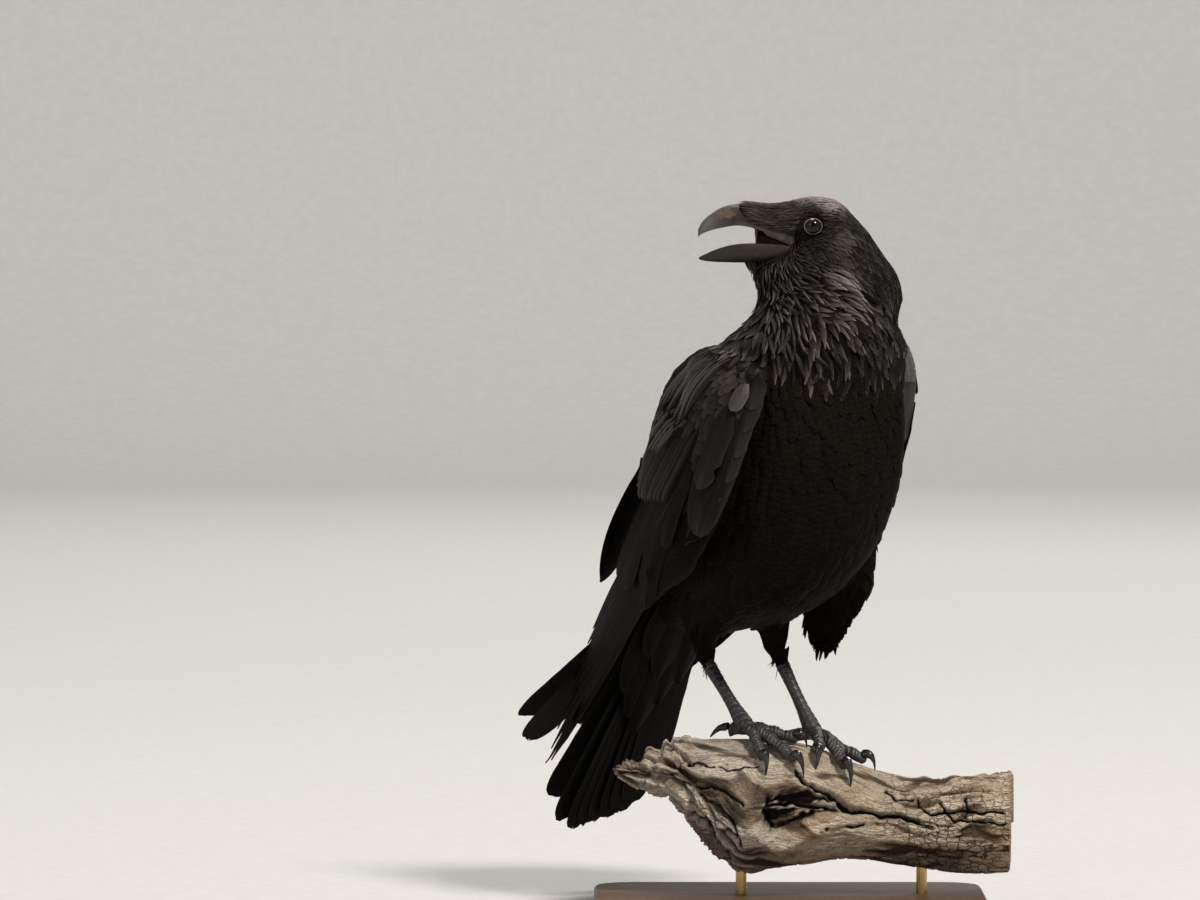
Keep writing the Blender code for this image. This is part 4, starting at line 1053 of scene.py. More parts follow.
contour_finish, head_finish, hackle_finish, covert_finish = (
    vane_material(*row)
    for row in (
        (
            "contour_feathers", (0.0014, 0.0009, 0.0005), (0.040, 0.029, 0.021), 10.0, 0.03, 0.03, 0.40, 0.35,
            0.05,
        ),
        # the head's and the hackles' pale colours show only where the guides' tone paints a highlight or
        # sheen
        ("head_feathers", (0.0012, 0.0008, 0.0006), (0.40, 0.345, 0.318), 10.0, 0.12, 0.08, 0.80, 0.35, 0.08),
        ("neck_hackles", (0.0010, 0.0007, 0.0006), (0.255, 0.205, 0.188), 8.0, 0.30, 0.20, 1.10, 0.30, 0.18),
        ("wing_coverts", (0.0014, 0.0010, 0.0008), (0.066, 0.055, 0.050), 9.0, 0.25, 0.10, 0.75, 0.40, 0.09),
    )
)

guides = world_guides()
parts = {name: k for k, name in enumerate(flesh)}
denser = 1.0


def faces_of(*names):
    return np.flatnonzero(np.isin(face_part, [parts[n] for n in names]))


head_roots = scatter_roots(faces_of("head"), guides, 60000, 11, denser)
grow_feathers(
    "head_feathers", head_roots, guides, head_finish, lance_vane, rows=5, seed=12, curl=0.35, jitter=0.0004,
    uneven=0.04,
)
neck_roots = scatter_roots(faces_of("neck"), guides, 30000, 13, denser)
grow_feathers(
    "neck_hackles", neck_roots, guides, hackle_finish, lance_vane, rows=8, seed=14, curl=0.5, thick=0.30,
    wander=0.34, jitter=0.0020, uneven=0.26,
)
trunk_roots = open_to_air(scatter_roots(faces_of("trunk", "rump"), guides, 26000, 15, denser * 0.95))
grow_feathers(
    "trunk_feathers", trunk_roots, guides, contour_finish, rounded_vane, rows=7, seed=16, uneven=0.02
)

# the loose beard of narrow feathers under the chin
dice = np.random.default_rng(17)
count, rows = 240, 6
ahead, left = dice.uniform(0.026, 0.061, count), dice.uniform(-1, 1, count)
share = np.linspace(0, 1, rows)[:, None]
long = dice.uniform(0.009, 0.016, count) * (1 - 0.25 * smooth_step(ahead, 0.045, 0.061))
line = head_at(
    ahead - long * (0.20 + 0.35 * share) * share - 0.001 * dice.standard_normal(count) * share,
    left * np.interp(ahead, [0.026, 0.061], [0.0100, 0.0040]) * (1 - 0.25 * share)
    + 0.0010 * dice.standard_normal(count) * share,
    0.4812 - long * share,
)
ups = np.stack(
    [-0.8 * np.ones((rows, count)), -left * 0.8 * np.ones((rows, 1)), -0.3 * np.ones((rows, count))], -1
)
ups /= np.linalg.norm(ups, axis=2, keepdims=True)
beard = leaf_mesh(
    "chin_beard", line, ups, lance_vane(share * np.ones(count)) * dice.uniform(0.0006, 0.0011, count),
    0.0004 * np.ones((rows, count)), dice.uniform(0.02, 0.14, count), dice.uniform(0.3, 0.5, count),
    np.stack([ahead * 20 % 1, left * 0.4 + 0.5], -1), long, curl=0.4, thick=0.3,
)
finish_feathers(beard, hackle_finish)

# ---- feathered legs and flank ----------------------------------------------------------------------------
# Short narrow feathers run down each leg to the heel, and a ragged tuft of long flank feathers hangs
# loose behind the left leg, its tips parted into wisps.

LEG_GUIDES = (
    (-0.055, 0.018, 0.230, 14, 3.2, 2.6, 1.8, 0.05, 0.10),
    (-0.060, 0.028, 0.195, 17, 2.4, 2.0, 1.2, 0.05, 0.12),
    (-0.010, 0.040, 0.230, 14, 3.2, 2.6, 1.8, 0.05, 0.10),
    (-0.010, 0.039, 0.195, 17, 2.4, 2.0, 1.2, 0.05, 0.12),
)
leg_table = np.array(
    [
        [x, y, z, 0.02, 0.05, -1.0, *(v / 1000 for v in (l, w, s, h)), t, g]
        for x, y, z, l, w, s, h, t, g in LEG_GUIDES
    ]
)
leg_faces = faces_of("thigh_left", "thigh_right")
leg_roots = scatter_roots(leg_faces[face_normals[leg_faces][:, 2] > -0.45], leg_table, 12000, 21, denser)
grow_feathers(
    "leg_feathers", leg_roots, leg_table, contour_finish, lance_vane, rows=5, seed=22, curl=0.3, uneven=0.02
)

flank_guides = guides.copy()
flank_guides[:, 3:6] = FORWARD * -0.20 + UP * -1
flank_roots = scatter_roots(faces_of("flank_left"), flank_guides, 9000, 23, 0.50 * denser)
grow_feathers(
    "flank_feathers", flank_roots, flank_guides, contour_finish, lance_vane, rows=6, seed=24, wander=0.08,
    longer=0.50, jitter=0.002, uneven=0.03,
)

# ---- wings -----------------------------------------------------------------------------------------------
# Small coverts lie like scales from the wrist, then come the great coverts, the tertials that cap the
# folded wing, the edges of the secondaries and, lowest, the long primaries. Each wing is dressed alike.

# place (a, b), lie (a, b), length, width, spacing and lift in mm, tone, gloss
COVERT_GUIDES = (
    (0.000, -0.006, 1, -0.15, 8, 5.0, 3.8, 0.9, 0.60, 0.55),
    (0.012, 0.022, 1, -0.10, 10, 6.0, 4.4, 1.0, 1.0, 0.95),
    (0.022, -0.016, 1, -0.35, 13, 8, 5.2, 1.2, 0.44, 0.40),
    (0.045, 0.000, 1, -0.22, 18, 10, 6.6, 1.5, 0.42, 0.36),
    (0.040, 0.034, 1, 0.02, 16, 9.5, 6.2, 1.0, 0.06, 0.08),
    (0.066, 0.046, 1, 0.02, 16, 9.5, 6.2, 1.0, 0.05, 0.06),
    (0.036, 0.016, 1, -0.10, 14, 8.5, 5.6, 1.3, 0.50, 0.42),
    (0.080, 0.015, 1, -0.14, 20, 10, 7.0, 1.8, 0.44, 0.36),
    (0.090, 0.040, 1, 0.00, 17, 10, 6.5, 1.6, 0.20, 0.25),
    (0.075, -0.035, 1, -0.45, 24, 12, 8.5, 1.4, 0.34, 0.28),
    (0.110, -0.020, 1, -0.25, 28, 12, 9.0, 1.4, 0.32, 0.26),
    (0.130, 0.025, 1, -0.20, 30, 13, 9.0, 1.0, 0.34, 0.26),
)


def wing_table(side):
    made = []
    for a, b, along, across, length, width, gap, lift, tone, gloss in COVERT_GUIDES:
        here = wing_at(side, a, b, 0.0)
        lie = wing_at(side, a + 0.004 * along, b + 0.004 * across, 0.0) - here
        if side < 0 and a < 0.03:
            tone, gloss = 3.5 * tone, 1.2  # painted highlight: the far shoulder's coverts are painted paler and glossier where the light catches them
        made.append(
            [
                *here, *(lie / np.linalg.norm(lie)), *(v / 1000 for v in (length, width, gap, lift)),
                tone, gloss,
            ]
        )
    return np.array(made)


def blade(
    place, root, tip, width, height, bow=0.0, share=0.5, blunt=0.80, rows=14, across=6, tone=0.4, gloss=0.4,
    worn=0.0, seed=0, thick=0.0005, camber=0.0012, pointed=0.5, roll=0.0, painted_shade=None, nicks=0.10,
):
    """One big feather as a closed leaf in a sheet's own measures, rows down the shaft, columns over the vane.
    share is how much of the width lies on the low side of the shaft; worn frays the end; roll tips the vane
    over its shaft; painted_shade gives the two places across between which tone and gloss rise from dark to
    full, which is painted shade on the side that lies under the neighbouring feather."""
    dice = np.random.default_rng(seed)
    root, tip = np.array(root), np.array(tip)
    reach = np.linalg.norm(tip - root)
    ahead = (tip - root) / reach
    aside = np.array([-ahead[1], ahead[0]])
    v = 1 - np.linspace(1, 0, rows) ** 1.4
    j = np.concatenate([np.linspace(-1, 0, across // 2 + 1), np.linspace(0, 1, across // 2 + 1)[1:]])
    half = unit(0.30 + 4.0 * v) * unit(1 - (unit(v - blunt) / (1.0 - blunt)) ** 2) ** pointed
    half = np.maximum(half, 0.05) * width
    rough = 1 + 0.5 * max(nicks, 0.02) * dice.standard_normal((rows, 2)) * (v[:, None] > 0.2)
    nick = dice.integers(rows // 2, rows - 1, 2)
    rough[nick, [0, 1]] -= nicks
    reach_out = np.where(j[None, :] < 0, share, 1 - share) * j[None, :] * half[:, None]
    reach_out *= np.where(j[None, :] < 0, rough[:, :1], rough[:, 1:])
    middle = root + np.multiply.outer(v, tip - root) + np.multiply.outer(4 * v * (1 - v) * bow, aside)
    swept = 0.30 * np.abs(reach_out) * (v[:, None] > 0.0)  # barbs reach towards the tip
    flat = middle[:, None, :] + reach_out[:, :, None] * aside + swept[:, :, None] * ahead
    if worn:
        fray = worn * dice.uniform(-1, 0.3, len(j)) * (v[-1] ** 6)
        flat += (fray[None, :] * (v**8)[:, None])[:, :, None] * ahead
    high = (
        height[0] + (height[1] - height[0]) * v[:, None] - camber * j[None, :] ** 2
        + roll * j[None, :] * (half / width)[:, None]
    )
    shaft = 0.00035 * bell(j[None, :] / 0.15) * (1 - v[:, None])
    top = place(flat[..., 0], flat[..., 1], high + shaft)
    body = thick * (1.0 - 0.75 * np.abs(j[None, :])) * (1 - 0.5 * v[:, None])
    low = place(flat[..., 0], flat[..., 1], high - body)
    grid = np.stack([v[:, None] * np.ones(len(j)), (j * 0.5 + 0.5)[None, :] * np.ones((rows, 1))], -1)
    shade = np.full(flat.shape[:2], tone + 0.03 * dice.standard_normal())
    # painted shade: the vane is darkened and dulled towards the side tucked under its neighbour
    if painted_shade:
        shade_ramp = 0.05 + 0.95 * smooth_step(j, *painted_shade)
        shade, gloss = shade * shade_ramp, gloss * shade_ramp * np.ones_like(shade)
    return top, low, grid, reach, shade, gloss


def join_blades(name, blades, finish):
    """Makes one piece of many big feathers, each on a patch of its own."""
    points, corners, unwrap, vane, tone, gloss, tips = [], [], [], [], [], [], []
    wide = math.ceil(math.sqrt(len(blades)))
    for number, (top, low, grid, reach, shade, shine) in enumerate(blades):
        base = sum(len(p) for p in points)
        points += [top.reshape(-1, 3), low.reshape(-1, 3)]
        size = len(points[-1])
        at = np.arange(size).reshape(top.shape[:2])
        upper = np.stack([at[:-1, :-1], at[:-1, 1:], at[1:, 1:], at[1:, :-1]], -1).reshape(-1, 4)
        left = np.stack([at[:-1, 0], at[1:, 0], at[1:, 0] + size, at[:-1, 0] + size], -1)
        right = np.stack([at[:-1, -1], at[:-1, -1] + size, at[1:, -1] + size, at[1:, -1]], -1)
        butt = np.stack([at[0, :-1], at[0, :-1] + size, at[0, 1:] + size, at[0, 1:]], -1)
        end = np.stack([at[-1, :-1], at[-1, 1:], at[-1, 1:] + size, at[-1, :-1] + size], -1)
        corners.append(np.concatenate([upper, upper[:, ::-1] + size, left, right, butt, end]) + base)
        cell = np.array([number % wide, number // wide]) / wide
        patch = (
            np.stack([grid[..., 1] * 0.44 + 0.03, grid[..., 0] * 0.92 + 0.04], -1).reshape(-1, 2) / wide
            + cell
        )
        unwrap += [patch, patch + np.array([0.48 / wide, 0])]
        vane += [np.stack([grid[..., 1], grid[..., 0] * reach * 100], -1).reshape(-1, 2)] * 2
        tips += [(grid[..., 0] ** 2).ravel()] * 2
        tone.append(np.tile(shade.ravel(), 2))
        gloss.append(np.full(2 * size, shine) if np.isscalar(shine) else np.tile(shine.ravel(), 2))
    points, corners, unwrap, vane, tone, gloss, tips = map(
        np.concatenate, (points, corners, unwrap, vane, tone, gloss, tips)
    )
    starts = np.arange(len(corners)) * 4
    made = feather_mesh(name, points, corners.ravel(), starts, (unwrap, vane), (tone, gloss, tips))
    mend(made)
    finish_feathers(made, finish)
    return made


quill_finish = vane_material(
    "flight_feathers", (0.0013, 0.0009, 0.0006), (0.034, 0.026, 0.021), 7.0, 0.18, 0.18, 0.20, 0.45, 0.04
)
gloss_finish = vane_material(
    "glossy_scapulars", (0.0014, 0.0011, 0.0010), (0.105, 0.092, 0.090), 6.0, 0.40, 0.10, 0.35, 0.35, 0.35
)

# each feather's tip from the longest covered one to the wing's tip, in mm from the wrist
PRIMARY_TIPS = (
    (288, 12), (303, 10), (321, 7), (341, 4), (362, 0), (383, -5), (400, -10), (412, -14), (404, -18),
    (374, -22),
)
GREAT_ROOTS = ((134, 62), (114, 44), (103, 34), (92, 26), (78, 16), (58, 4))
GREAT_TIPS = ((194, 70), (182, 52), (169, 34), (156, 20), (143, 8), (127, -8))
LEADING_EDGE = (
    (-3, -6), (5, -14), (16, -22), (29, -32), (45, -42), (62, -51), (76, -57), (89, -61), (104, -63)
)
# the far shoulder's edge in mm down from its top, outward, and its depth
SHOULDER_EDGE = ((3, 10, 17, 25, 33, 52, 81), (1.5, 6.7, 11, 13.3, 14.8, 13.3, 8.9))
SHOULDER_DEPTH = ((0, 30, 41, 54, 68, 83), (-3, 16.8, 24.2, 31.1, 35.9, 40.8))


def on_shoulder(a, b, h):
    """On the bend of the far wing, a mm down and b mm outward."""
    deep = np.interp(a, *SHOULDER_DEPTH) + 1.2 * (b - np.interp(a, *SHOULDER_EDGE))
    return (
        np.stack([0.0799 + b / 1000, deep / 1000, 0.4299 - a / 1000], -1)
        + np.multiply.outer(h, (0.77, -0.64, 0))
    )


for side, word in ((1, "right"), (-1, "left")):

    def on_wing(a, b, h, side=side):
        """On the folded wing, or over the back and shoulder where they stand out further."""
        place = wing_at(side, np.asarray(a) / 1000, np.asarray(b) / 1000, h)
        flat, heights = place.reshape(-1, 3), np.broadcast_to(h, place.shape[:-1]).ravel()
        for i, p in enumerate(flat):
            hit, normal, _, _ = skin_tree.ray_cast(p + RIGHT * side * 0.15, -RIGHT * side, 0.30)
            if hit is not None:
                slope = max(abs(float(np.array(normal) @ RIGHT)), 0.40)
                rise = float((np.array(hit) - p) @ RIGHT) * side + (0.0030 + heights[i]) / slope
                flat[i] += RIGHT * side * max(rise, 0)
        if side < 0:
            flat[:, 0] -= draw_in(flat)
        return flat.reshape(place.shape)

    tuck = 0.0 if side > 0 else 16.0  # the left wing is held closer in
    table = wing_table(side)
    faces = faces_of(f"wing_{word}_coverts")
    middle = skin_points[skin_faces[faces]].mean(1)
    a, b = wing_measure(side, middle)
    outward = (face_normals[faces] @ RIGHT) * side
    faces = faces[(a < 0.122) & ((outward > -0.2) | (a < 0.03))]
    roots = open_to_air(scatter_roots(faces, table, 9000, 31 + side, denser), 0.010)
    grow_feathers(
        f"wing_coverts_{word}", roots, table, covert_finish, rounded_vane, rows=7, seed=33 + side,
        wander=0.07, curl=0.16,
    )

    primaries = []
    for k, tip in enumerate(PRIMARY_TIPS):
        root = (150 - 3.0 * k, -8 - 3.8 * k)
        primaries.append(blade(
            on_wing, root, tip, 15 - 0.5 * k, (-0.0030 - 0.0008 * k, -0.0004 - 0.00040 * k), bow=3.0,
            share=0.62, blunt=0.55, rows=20, tone=0.22 - 0.010 * k, gloss=0.30, seed=50 + k, pointed=0.85,
            roll=-0.0006, painted_shade=(0.5, -0.6),
        ))
    join_blades(f"wing_primaries_{word}", primaries, quill_finish)

    inner = []
    for k in range(7):  # secondaries, each showing a narrow strip under the one above
        inner.append(blade(
            on_wing, (88 - 3 * k, -20 - 4 * k), (204 - 9 * k, -44 - 3.0 * k + tuck * 0.6), 17,
            (-0.0040 - 0.0006 * k, 0.0004 - 0.0005 * k), bow=-4.0, share=0.55, blunt=0.78, rows=16, tone=0.13,
            gloss=0.22, seed=70 + k, roll=-0.0007, painted_shade=(0.2, -0.8),
        ))
    # tertials: the innermost one stands off along the back edge, the others cap the folded wing
    inner.append(blade(
        on_wing, (150, 58), (264, 37), 18, (0.0005, 0.0060), bow=5.0, share=0.9, blunt=0.55, rows=18,
        tone=0.05, gloss=0.20, seed=81, pointed=0.8, roll=0.012, nicks=0.02,
    ))
    inner.append(blade(
        on_wing, (128, 52), (224, 6), 44, (-0.0040, -0.0010), bow=5.0, blunt=0.72, rows=18, tone=0.10,
        gloss=0.18, seed=82, painted_shade=(1.0, -0.2),
    ))
    inner.append(blade(
        on_wing, (108, 22), (214, -12), 34, (-0.0030, -0.0002), bow=3.0, blunt=0.76, rows=18, tone=0.12,
        gloss=0.18, seed=83, roll=-0.0006, painted_shade=(1.1, -0.1),
    ))
    inner.append(blade(
        on_wing, (92, -2), (196, -50), 34, (-0.0026, 0.0010), bow=5.0, blunt=0.68, rows=18, tone=0.09,
        gloss=0.18, seed=84, roll=-0.0004, pointed=0.7, painted_shade=(1.1, 0.0),
    ))
    inner.append(blade(
        on_wing, (84, -8), (142, -38), 22, (-0.0010, 0.0022), bow=2.0, blunt=0.76, tone=0.15, gloss=0.24,
        seed=85, painted_shade=(1.1, 0.0),
    ))
    # a bare pale shaft
    inner.append(blade(
        on_wing, (106, -15), (147, -17), 1.1, (0.0012, 0.0016), rows=8, across=4, tone=1.3, gloss=0.6,
        seed=86, camber=0.0002,
    ))
    join_blades(f"wing_secondaries_{word}", inner, quill_finish)

    covers = []
    # alula and primary coverts: three broad lobes over the bend of the wing
    covers.append(blade(
        on_wing, (48, -10), (107, -59 + tuck), 32, (-0.0030, 0.0012), bow=2.0, blunt=0.66, tone=0.09,
        gloss=0.16, seed=90, pointed=0.7, painted_shade=(1.2, 0.2),
    ))
    covers.append(blade(
        on_wing, (28, -18), (105, -63 + tuck), 17, (-0.0014, 0.0020), bow=-4.0, blunt=0.70, tone=0.10,
        gloss=0.16, seed=91, pointed=0.7, painted_shade=(1.0, 0.2),
    ))
    covers.append(blade(
        on_wing, (26, -6), (84, -34 + 0.5 * tuck), 24, (-0.0010, 0.0030), bow=-2.0, blunt=0.70, tone=0.13,
        gloss=0.18, seed=92, pointed=0.7, roll=-0.0008, painted_shade=(1.0, 0.1),
    ))
    # great coverts, narrow strips from the back edge inwards, each tipped over the next with a dark gap: a
    # real gap, deepened by painted shade on each strip's tucked side
    for k in range(13):
        t = k / 12
        root, tip = (
            [np.interp(t * 5, range(6), line) for line in zip(*ends)] for ends in (GREAT_ROOTS, GREAT_TIPS)
        )
        covers.append(blade(
            on_wing, root, tip, 8.4, (-0.0026, 0.0012 + 0.0004 * (k % 2)), bow=-1.0, rows=12,
            tone=0.60 - 0.16 * (k % 2) - 0.20 * t, gloss=0.55, seed=100 + k, roll=0.0034, camber=0.0008,
            painted_shade=(0.1, 0.55),
        ))
    # the crisp leading edge that laps over the breast
    for k in range(7 if side > 0 else 3):
        low, high = LEADING_EDGE[k], LEADING_EDGE[k + 2]
        covers.append(blade(
            on_wing, (low[0], low[1] + 5 + tuck * 1.2), (high[0], high[1] + 2 + tuck * 1.2), 11 + 0.5 * k,
            (-0.0020, 0.0006), blunt=0.62, rows=10, tone=0.20, gloss=0.26, seed=120 + k, painted_shade=(1.2, 0.0),
        ))
    join_blades(f"wing_great_coverts_{word}", covers, covert_finish)

    # scapulars: narrow glossy strands with black gaps, partly painted shade on each strand's tucked side, and
    # a second shorter group lower down the back
    # painted shade: on the far wing the scapulars are painted half as bright
    far_side_shade = 1.0 if side > 0 else 0.5
    # a pale oval covert at the bend of the wing, its paleness a painted sheen
    shoulder = [blade(
        on_wing, (7, -2), (25, -12), 12, (0.0008, 0.0028), blunt=0.58, rows=10, tone=0.34, gloss=0.9,
        seed=128, camber=0.0018, nicks=0.02,
    )]
    dice = np.random.default_rng(139)
    for k in range(15):
        t, slip, turn = k / 14, *dice.uniform(-1, 1, 2)
        shoulder.append(blade(
            on_wing, (12 + 24 * t + 4 * slip, 27 + 32 * t),
            (76 + 20 * t + 11 * slip, 27 + 34 * t + 2.2 * turn), 4.6 + 1.2 * turn,
            (-0.0008 + 0.0006 * (k % 2), 0.0010 + 0.0008 * slip), bow=0.8 + 1.5 * t + 1.2 * slip, blunt=0.45,
            tone=(0.50 + 0.34 * slip) * far_side_shade, gloss=0.70 + 0.3 * turn, seed=140 + k, pointed=1.0,
            camber=0.0006, roll=0.0020, painted_shade=(0.0, 0.6), nicks=0.2,
        ))
    for k in range(9):
        t, slip, turn = k / 8, *dice.uniform(-1, 1, 2)
        shoulder.append(blade(
            on_wing, (72 + 20 * t + 4 * slip, 25 + 35 * t), (120 + 20 * t + 8 * slip, 36 + 32 * t + 2 * turn),
            6.2 + 1.2 * turn, (-0.0016, 0.0002 + 0.0006 * slip), bow=0.5, blunt=0.50, rows=12,
            tone=(0.34 + 0.14 * slip) * far_side_shade, gloss=0.50, seed=160 + k, pointed=0.85, camber=0.0008,
            roll=0.0018, painted_shade=(0.0, 0.6), nicks=0.2,
        ))
    if side < 0:  # pale scales on the far shoulder, their paleness a painted highlight of the light from behind, and a long feather that closes the edge below them
        shoulder.append(blade(
            on_shoulder, (26, 12.5), (84, 7.5), 10, (-0.0010, -0.0010), blunt=0.60, rows=12, tone=0.10,
            gloss=0.10, seed=210, nicks=0.02,
        ))
        for k in range(16):
            low, inward = -3 + 4.4 * (k // 2), 2.4 + 4.0 * (k % 2)
            edges = np.interp((low, low + 11), *SHOULDER_EDGE) - inward
            shoulder.append(blade(
                on_shoulder, (low, edges[0]), (low + 11, edges[1]), 5.5, (-0.0004, 0.0008), blunt=0.60,
                rows=8, tone=1.0 - 0.05 * (k // 2), gloss=1.0 - 0.08 * (k // 2), seed=211 + k, camber=0.0010,
                nicks=0.02,
            ))
    join_blades(f"scapulars_{word}", shoulder, gloss_finish)

for word in ("right", "left"):
    for kind in ("primaries", "secondaries"):
        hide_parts(f"wing_{word}_{kind}")

# ---- tail ------------------------------------------------------------------------------------------------
# Twelve long feathers spread from the rump, the middle pair on top: ten in the fan, and two that have
# slipped out level on the right. Their ends are blunt and worn.

TAIL_ROOT = (-0.088, 0.258)  # ahead, height
# spread and drop in degrees, length, width, layer
TAIL_FEATHERS = (
    (-15.2, 55.2, 0.219, 0.030, 5), (-13.0, 57.0, 0.225, 0.030, 4), (-10.8, 57.5, 0.233, 0.030, 3),
    (-8.6, 57.5, 0.238, 0.029, 2),
    (-6.4, 57.5, 0.243, 0.028, 1), (-4.2, 57.2, 0.246, 0.027, 0), (-2.0, 57.0, 0.249, 0.026, 1),
    (0.2, 56.8, 0.251, 0.026, 2),
    (2.6, 55.6, 0.246, 0.030, 3), (4.4, 52.8, 0.231, 0.036, 4), (4.4, 40.0, 0.220, 0.040, 5),
    (7.4, 37.0, 0.203, 0.038, 6),
    (5.0, 48.4, 0.172, 0.036, 5), (5.0, 45.2, 0.160, 0.036, 6),
)
fan = []
for number, (spread, drop, length, width, layer) in enumerate(TAIL_FEATHERS):
    spread, drop = math.radians(spread), math.radians(drop)
    out = (FORWARD * -math.cos(drop) - UP * math.sin(drop)) * math.cos(spread) + RIGHT * math.sin(spread)
    across = (FORWARD * math.cos(drop) + UP * math.sin(drop)) * math.sin(spread) + RIGHT * math.cos(spread)
    back = np.cross(across, out)
    back = back if back[2] > 0 else -back
    start = bird(TAIL_ROOT[0], 0.0, TAIL_ROOT[1]) + RIGHT * (spread * 0.020)

    def on_tail(x, y, h, out=out, across=across, back=back, start=start, length=length):
        sag = 0.10 * (np.asarray(x) / length - 0.4) ** 2 * length * 0.15
        return (
            start + np.multiply.outer(x, out) + np.multiply.outer(y, across)
            + np.multiply.outer(h - sag, back)
        )

    fan.append(blade(
        on_tail, (0.020, 0.0), (length - 0.001, 0.0), width,
        (0.0012 - 0.0006 * layer, 0.0010 - 0.0006 * layer), blunt=0.86 if number < 10 else 0.80, rows=22,
        across=10, tone=0.05, gloss=0.14, worn=0.004, seed=180 + number, camber=0.0004, pointed=0.40,
        painted_shade=(0.1, -0.8) if number < 5 else (-0.1, 0.8), nicks=0.0,
    ))
    if number == 5:
        under_tail = on_tail  # the middle pair carries the soft feathers beneath
tail = join_blades("tail_feathers", fan, quill_finish)
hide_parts("tail_centre", "tail_outer_right")
# root x, y and tip x, y beneath the tail, and width, in mm
UNDER_TAIL = (
    (0, 24, 118, 30, 30), (0, 12, 142, 16, 34), (0, 0, 160, 3, 36), (0, -8, 132, -9, 34),
    (0, -16, 112, -20, 32), (-4, 18, 84, 26, 30), (-4, 4, 104, 8, 34), (-4, -10, 86, -14, 32),
)
under = []
for number, (x0, y0, x1, y1, width) in enumerate(UNDER_TAIL):
    under.append(blade(
        lambda x, y, h: under_tail(x / 1000, y / 1000, -h), (x0, y0), (x1, y1), width,
        (0.010 + 0.0010 * number, 0.0050 + 0.0012 * number), blunt=0.50, rows=16, across=8, tone=0.05,
        gloss=0.10, seed=200 + number, pointed=0.8, camber=0.0030, nicks=0.03, bow=4.0,
    ))
join_blades("under_tail_feathers", under, quill_finish)

# ---- bill ------------------------------------------------------------------------------------------------
# Two horn sheaths over bone, the upper one arched and hooked, the lower a trough, held open on a dark mouth.
# The horn is black and blue-grey, polished at the tip and scuffed, with dried soil on it; the upper tip's
# pale grey is partly a painted highlight.

# ahead of the head's centre, height of the ridge, of the cutting edge, and half the width
UPPER_BILL = (
    (0.020, 0.5130, 0.4918, 0.0115), (0.031, 0.5165, 0.4962, 0.0113), (0.042, 0.5190, 0.5008, 0.0105),
    (0.054, 0.5215, 0.5054, 0.0092), (0.066, 0.5232, 0.5076, 0.0077), (0.077, 0.5212, 0.5062, 0.0060),
    (0.086, 0.5160, 0.5040, 0.0043), (0.092, 0.5107, 0.5018, 0.0028), (0.0956, 0.5045, 0.4993, 0.0013),
)
# ahead, height of the cutting edge, of the keel, and half the width
LOWER_BILL = (
    (0.020, 0.4905, 0.4795, 0.0108), (0.034, 0.4930, 0.4797, 0.0102), (0.048, 0.4940, 0.4799, 0.0092),
    (0.061, 0.4940, 0.4801, 0.0078), (0.073, 0.4925, 0.4803, 0.0062), (0.084, 0.4890, 0.4807, 0.0043),
    (0.091, 0.4858, 0.4815, 0.0026), (0.0948, 0.4840, 0.4826, 0.0012),
)
HORN_WALL = 0.0017
RING_POINTS = 15


def horn_ring(row, upper):
    """One cross-section of a half of the bill: the outside, then the hollow of its roof or floor."""
    t = np.linspace(0, math.pi, RING_POINTS)
    half = row[3]
    inner = half - min(HORN_WALL, half * 0.45)
    if upper:
        ahead, ridge, edge = row[:3]
        rise = np.sin(t) ** 0.85
        outer = head_at(ahead, -half * np.cos(t) * (1 - 0.12 * rise), edge + (ridge - edge) * rise)
        roof = min((ridge - edge) * 0.42, 0.0045)
        hollow = head_at(ahead, -inner * np.cos(t[::-1]), edge - 0.0002 + roof * np.sin(t[::-1]))
    else:
        ahead, edge, keel = row[:3]
        outer = head_at(ahead, half * np.cos(t), edge - (edge - keel) * np.sin(t) ** 0.7)
        floor = max(edge - keel - 0.0030, (edge - keel) * 0.35)
        hollow = head_at(ahead, inner * np.cos(t[::-1]), edge + 0.0002 - floor * np.sin(t[::-1]))
    return np.concatenate([outer, hollow])


def loft(name, rings):
    """Skins rings of equal length, and closes both ends."""
    rings = np.array(rings)
    count, around = rings.shape[:2]
    at = np.arange(count * around).reshape(count, around)
    faces = np.stack(
        [at[:-1], np.roll(at[:-1], -1, 1), np.roll(at[1:], -1, 1), at[1:]], -1
    ).reshape(-1, 4).tolist()
    faces += [at[0][::-1].tolist(), at[-1].tolist()]
    mesh = bpy.data.meshes.new(name)
    mesh.from_pydata(rings.reshape(-1, 3).tolist(), [], faces)
    made = bpy.data.objects.new(name, mesh)
    bpy.context.collection.objects.link(made)
    mend(made)
    bpy.ops.object.shade_smooth_by_angle(angle=math.radians(48))
    return made


horn, tree, shader = new_material("bill_horn")
soil, rim, polish_and_sheen = (painted(tree, key) for key in ("Soil", "Rim", "PolishAndSheen"))
streaks = noise(tree, (90, 500, 700), Detail=4.0)
specks = noise(tree, (1100, 1100, 1100), Detail=5.0, Roughness=0.8)
base = mix_colours(tree, streaks, (0.006, 0.005, 0.0045, 1), (0.026, 0.021, 0.018, 1))
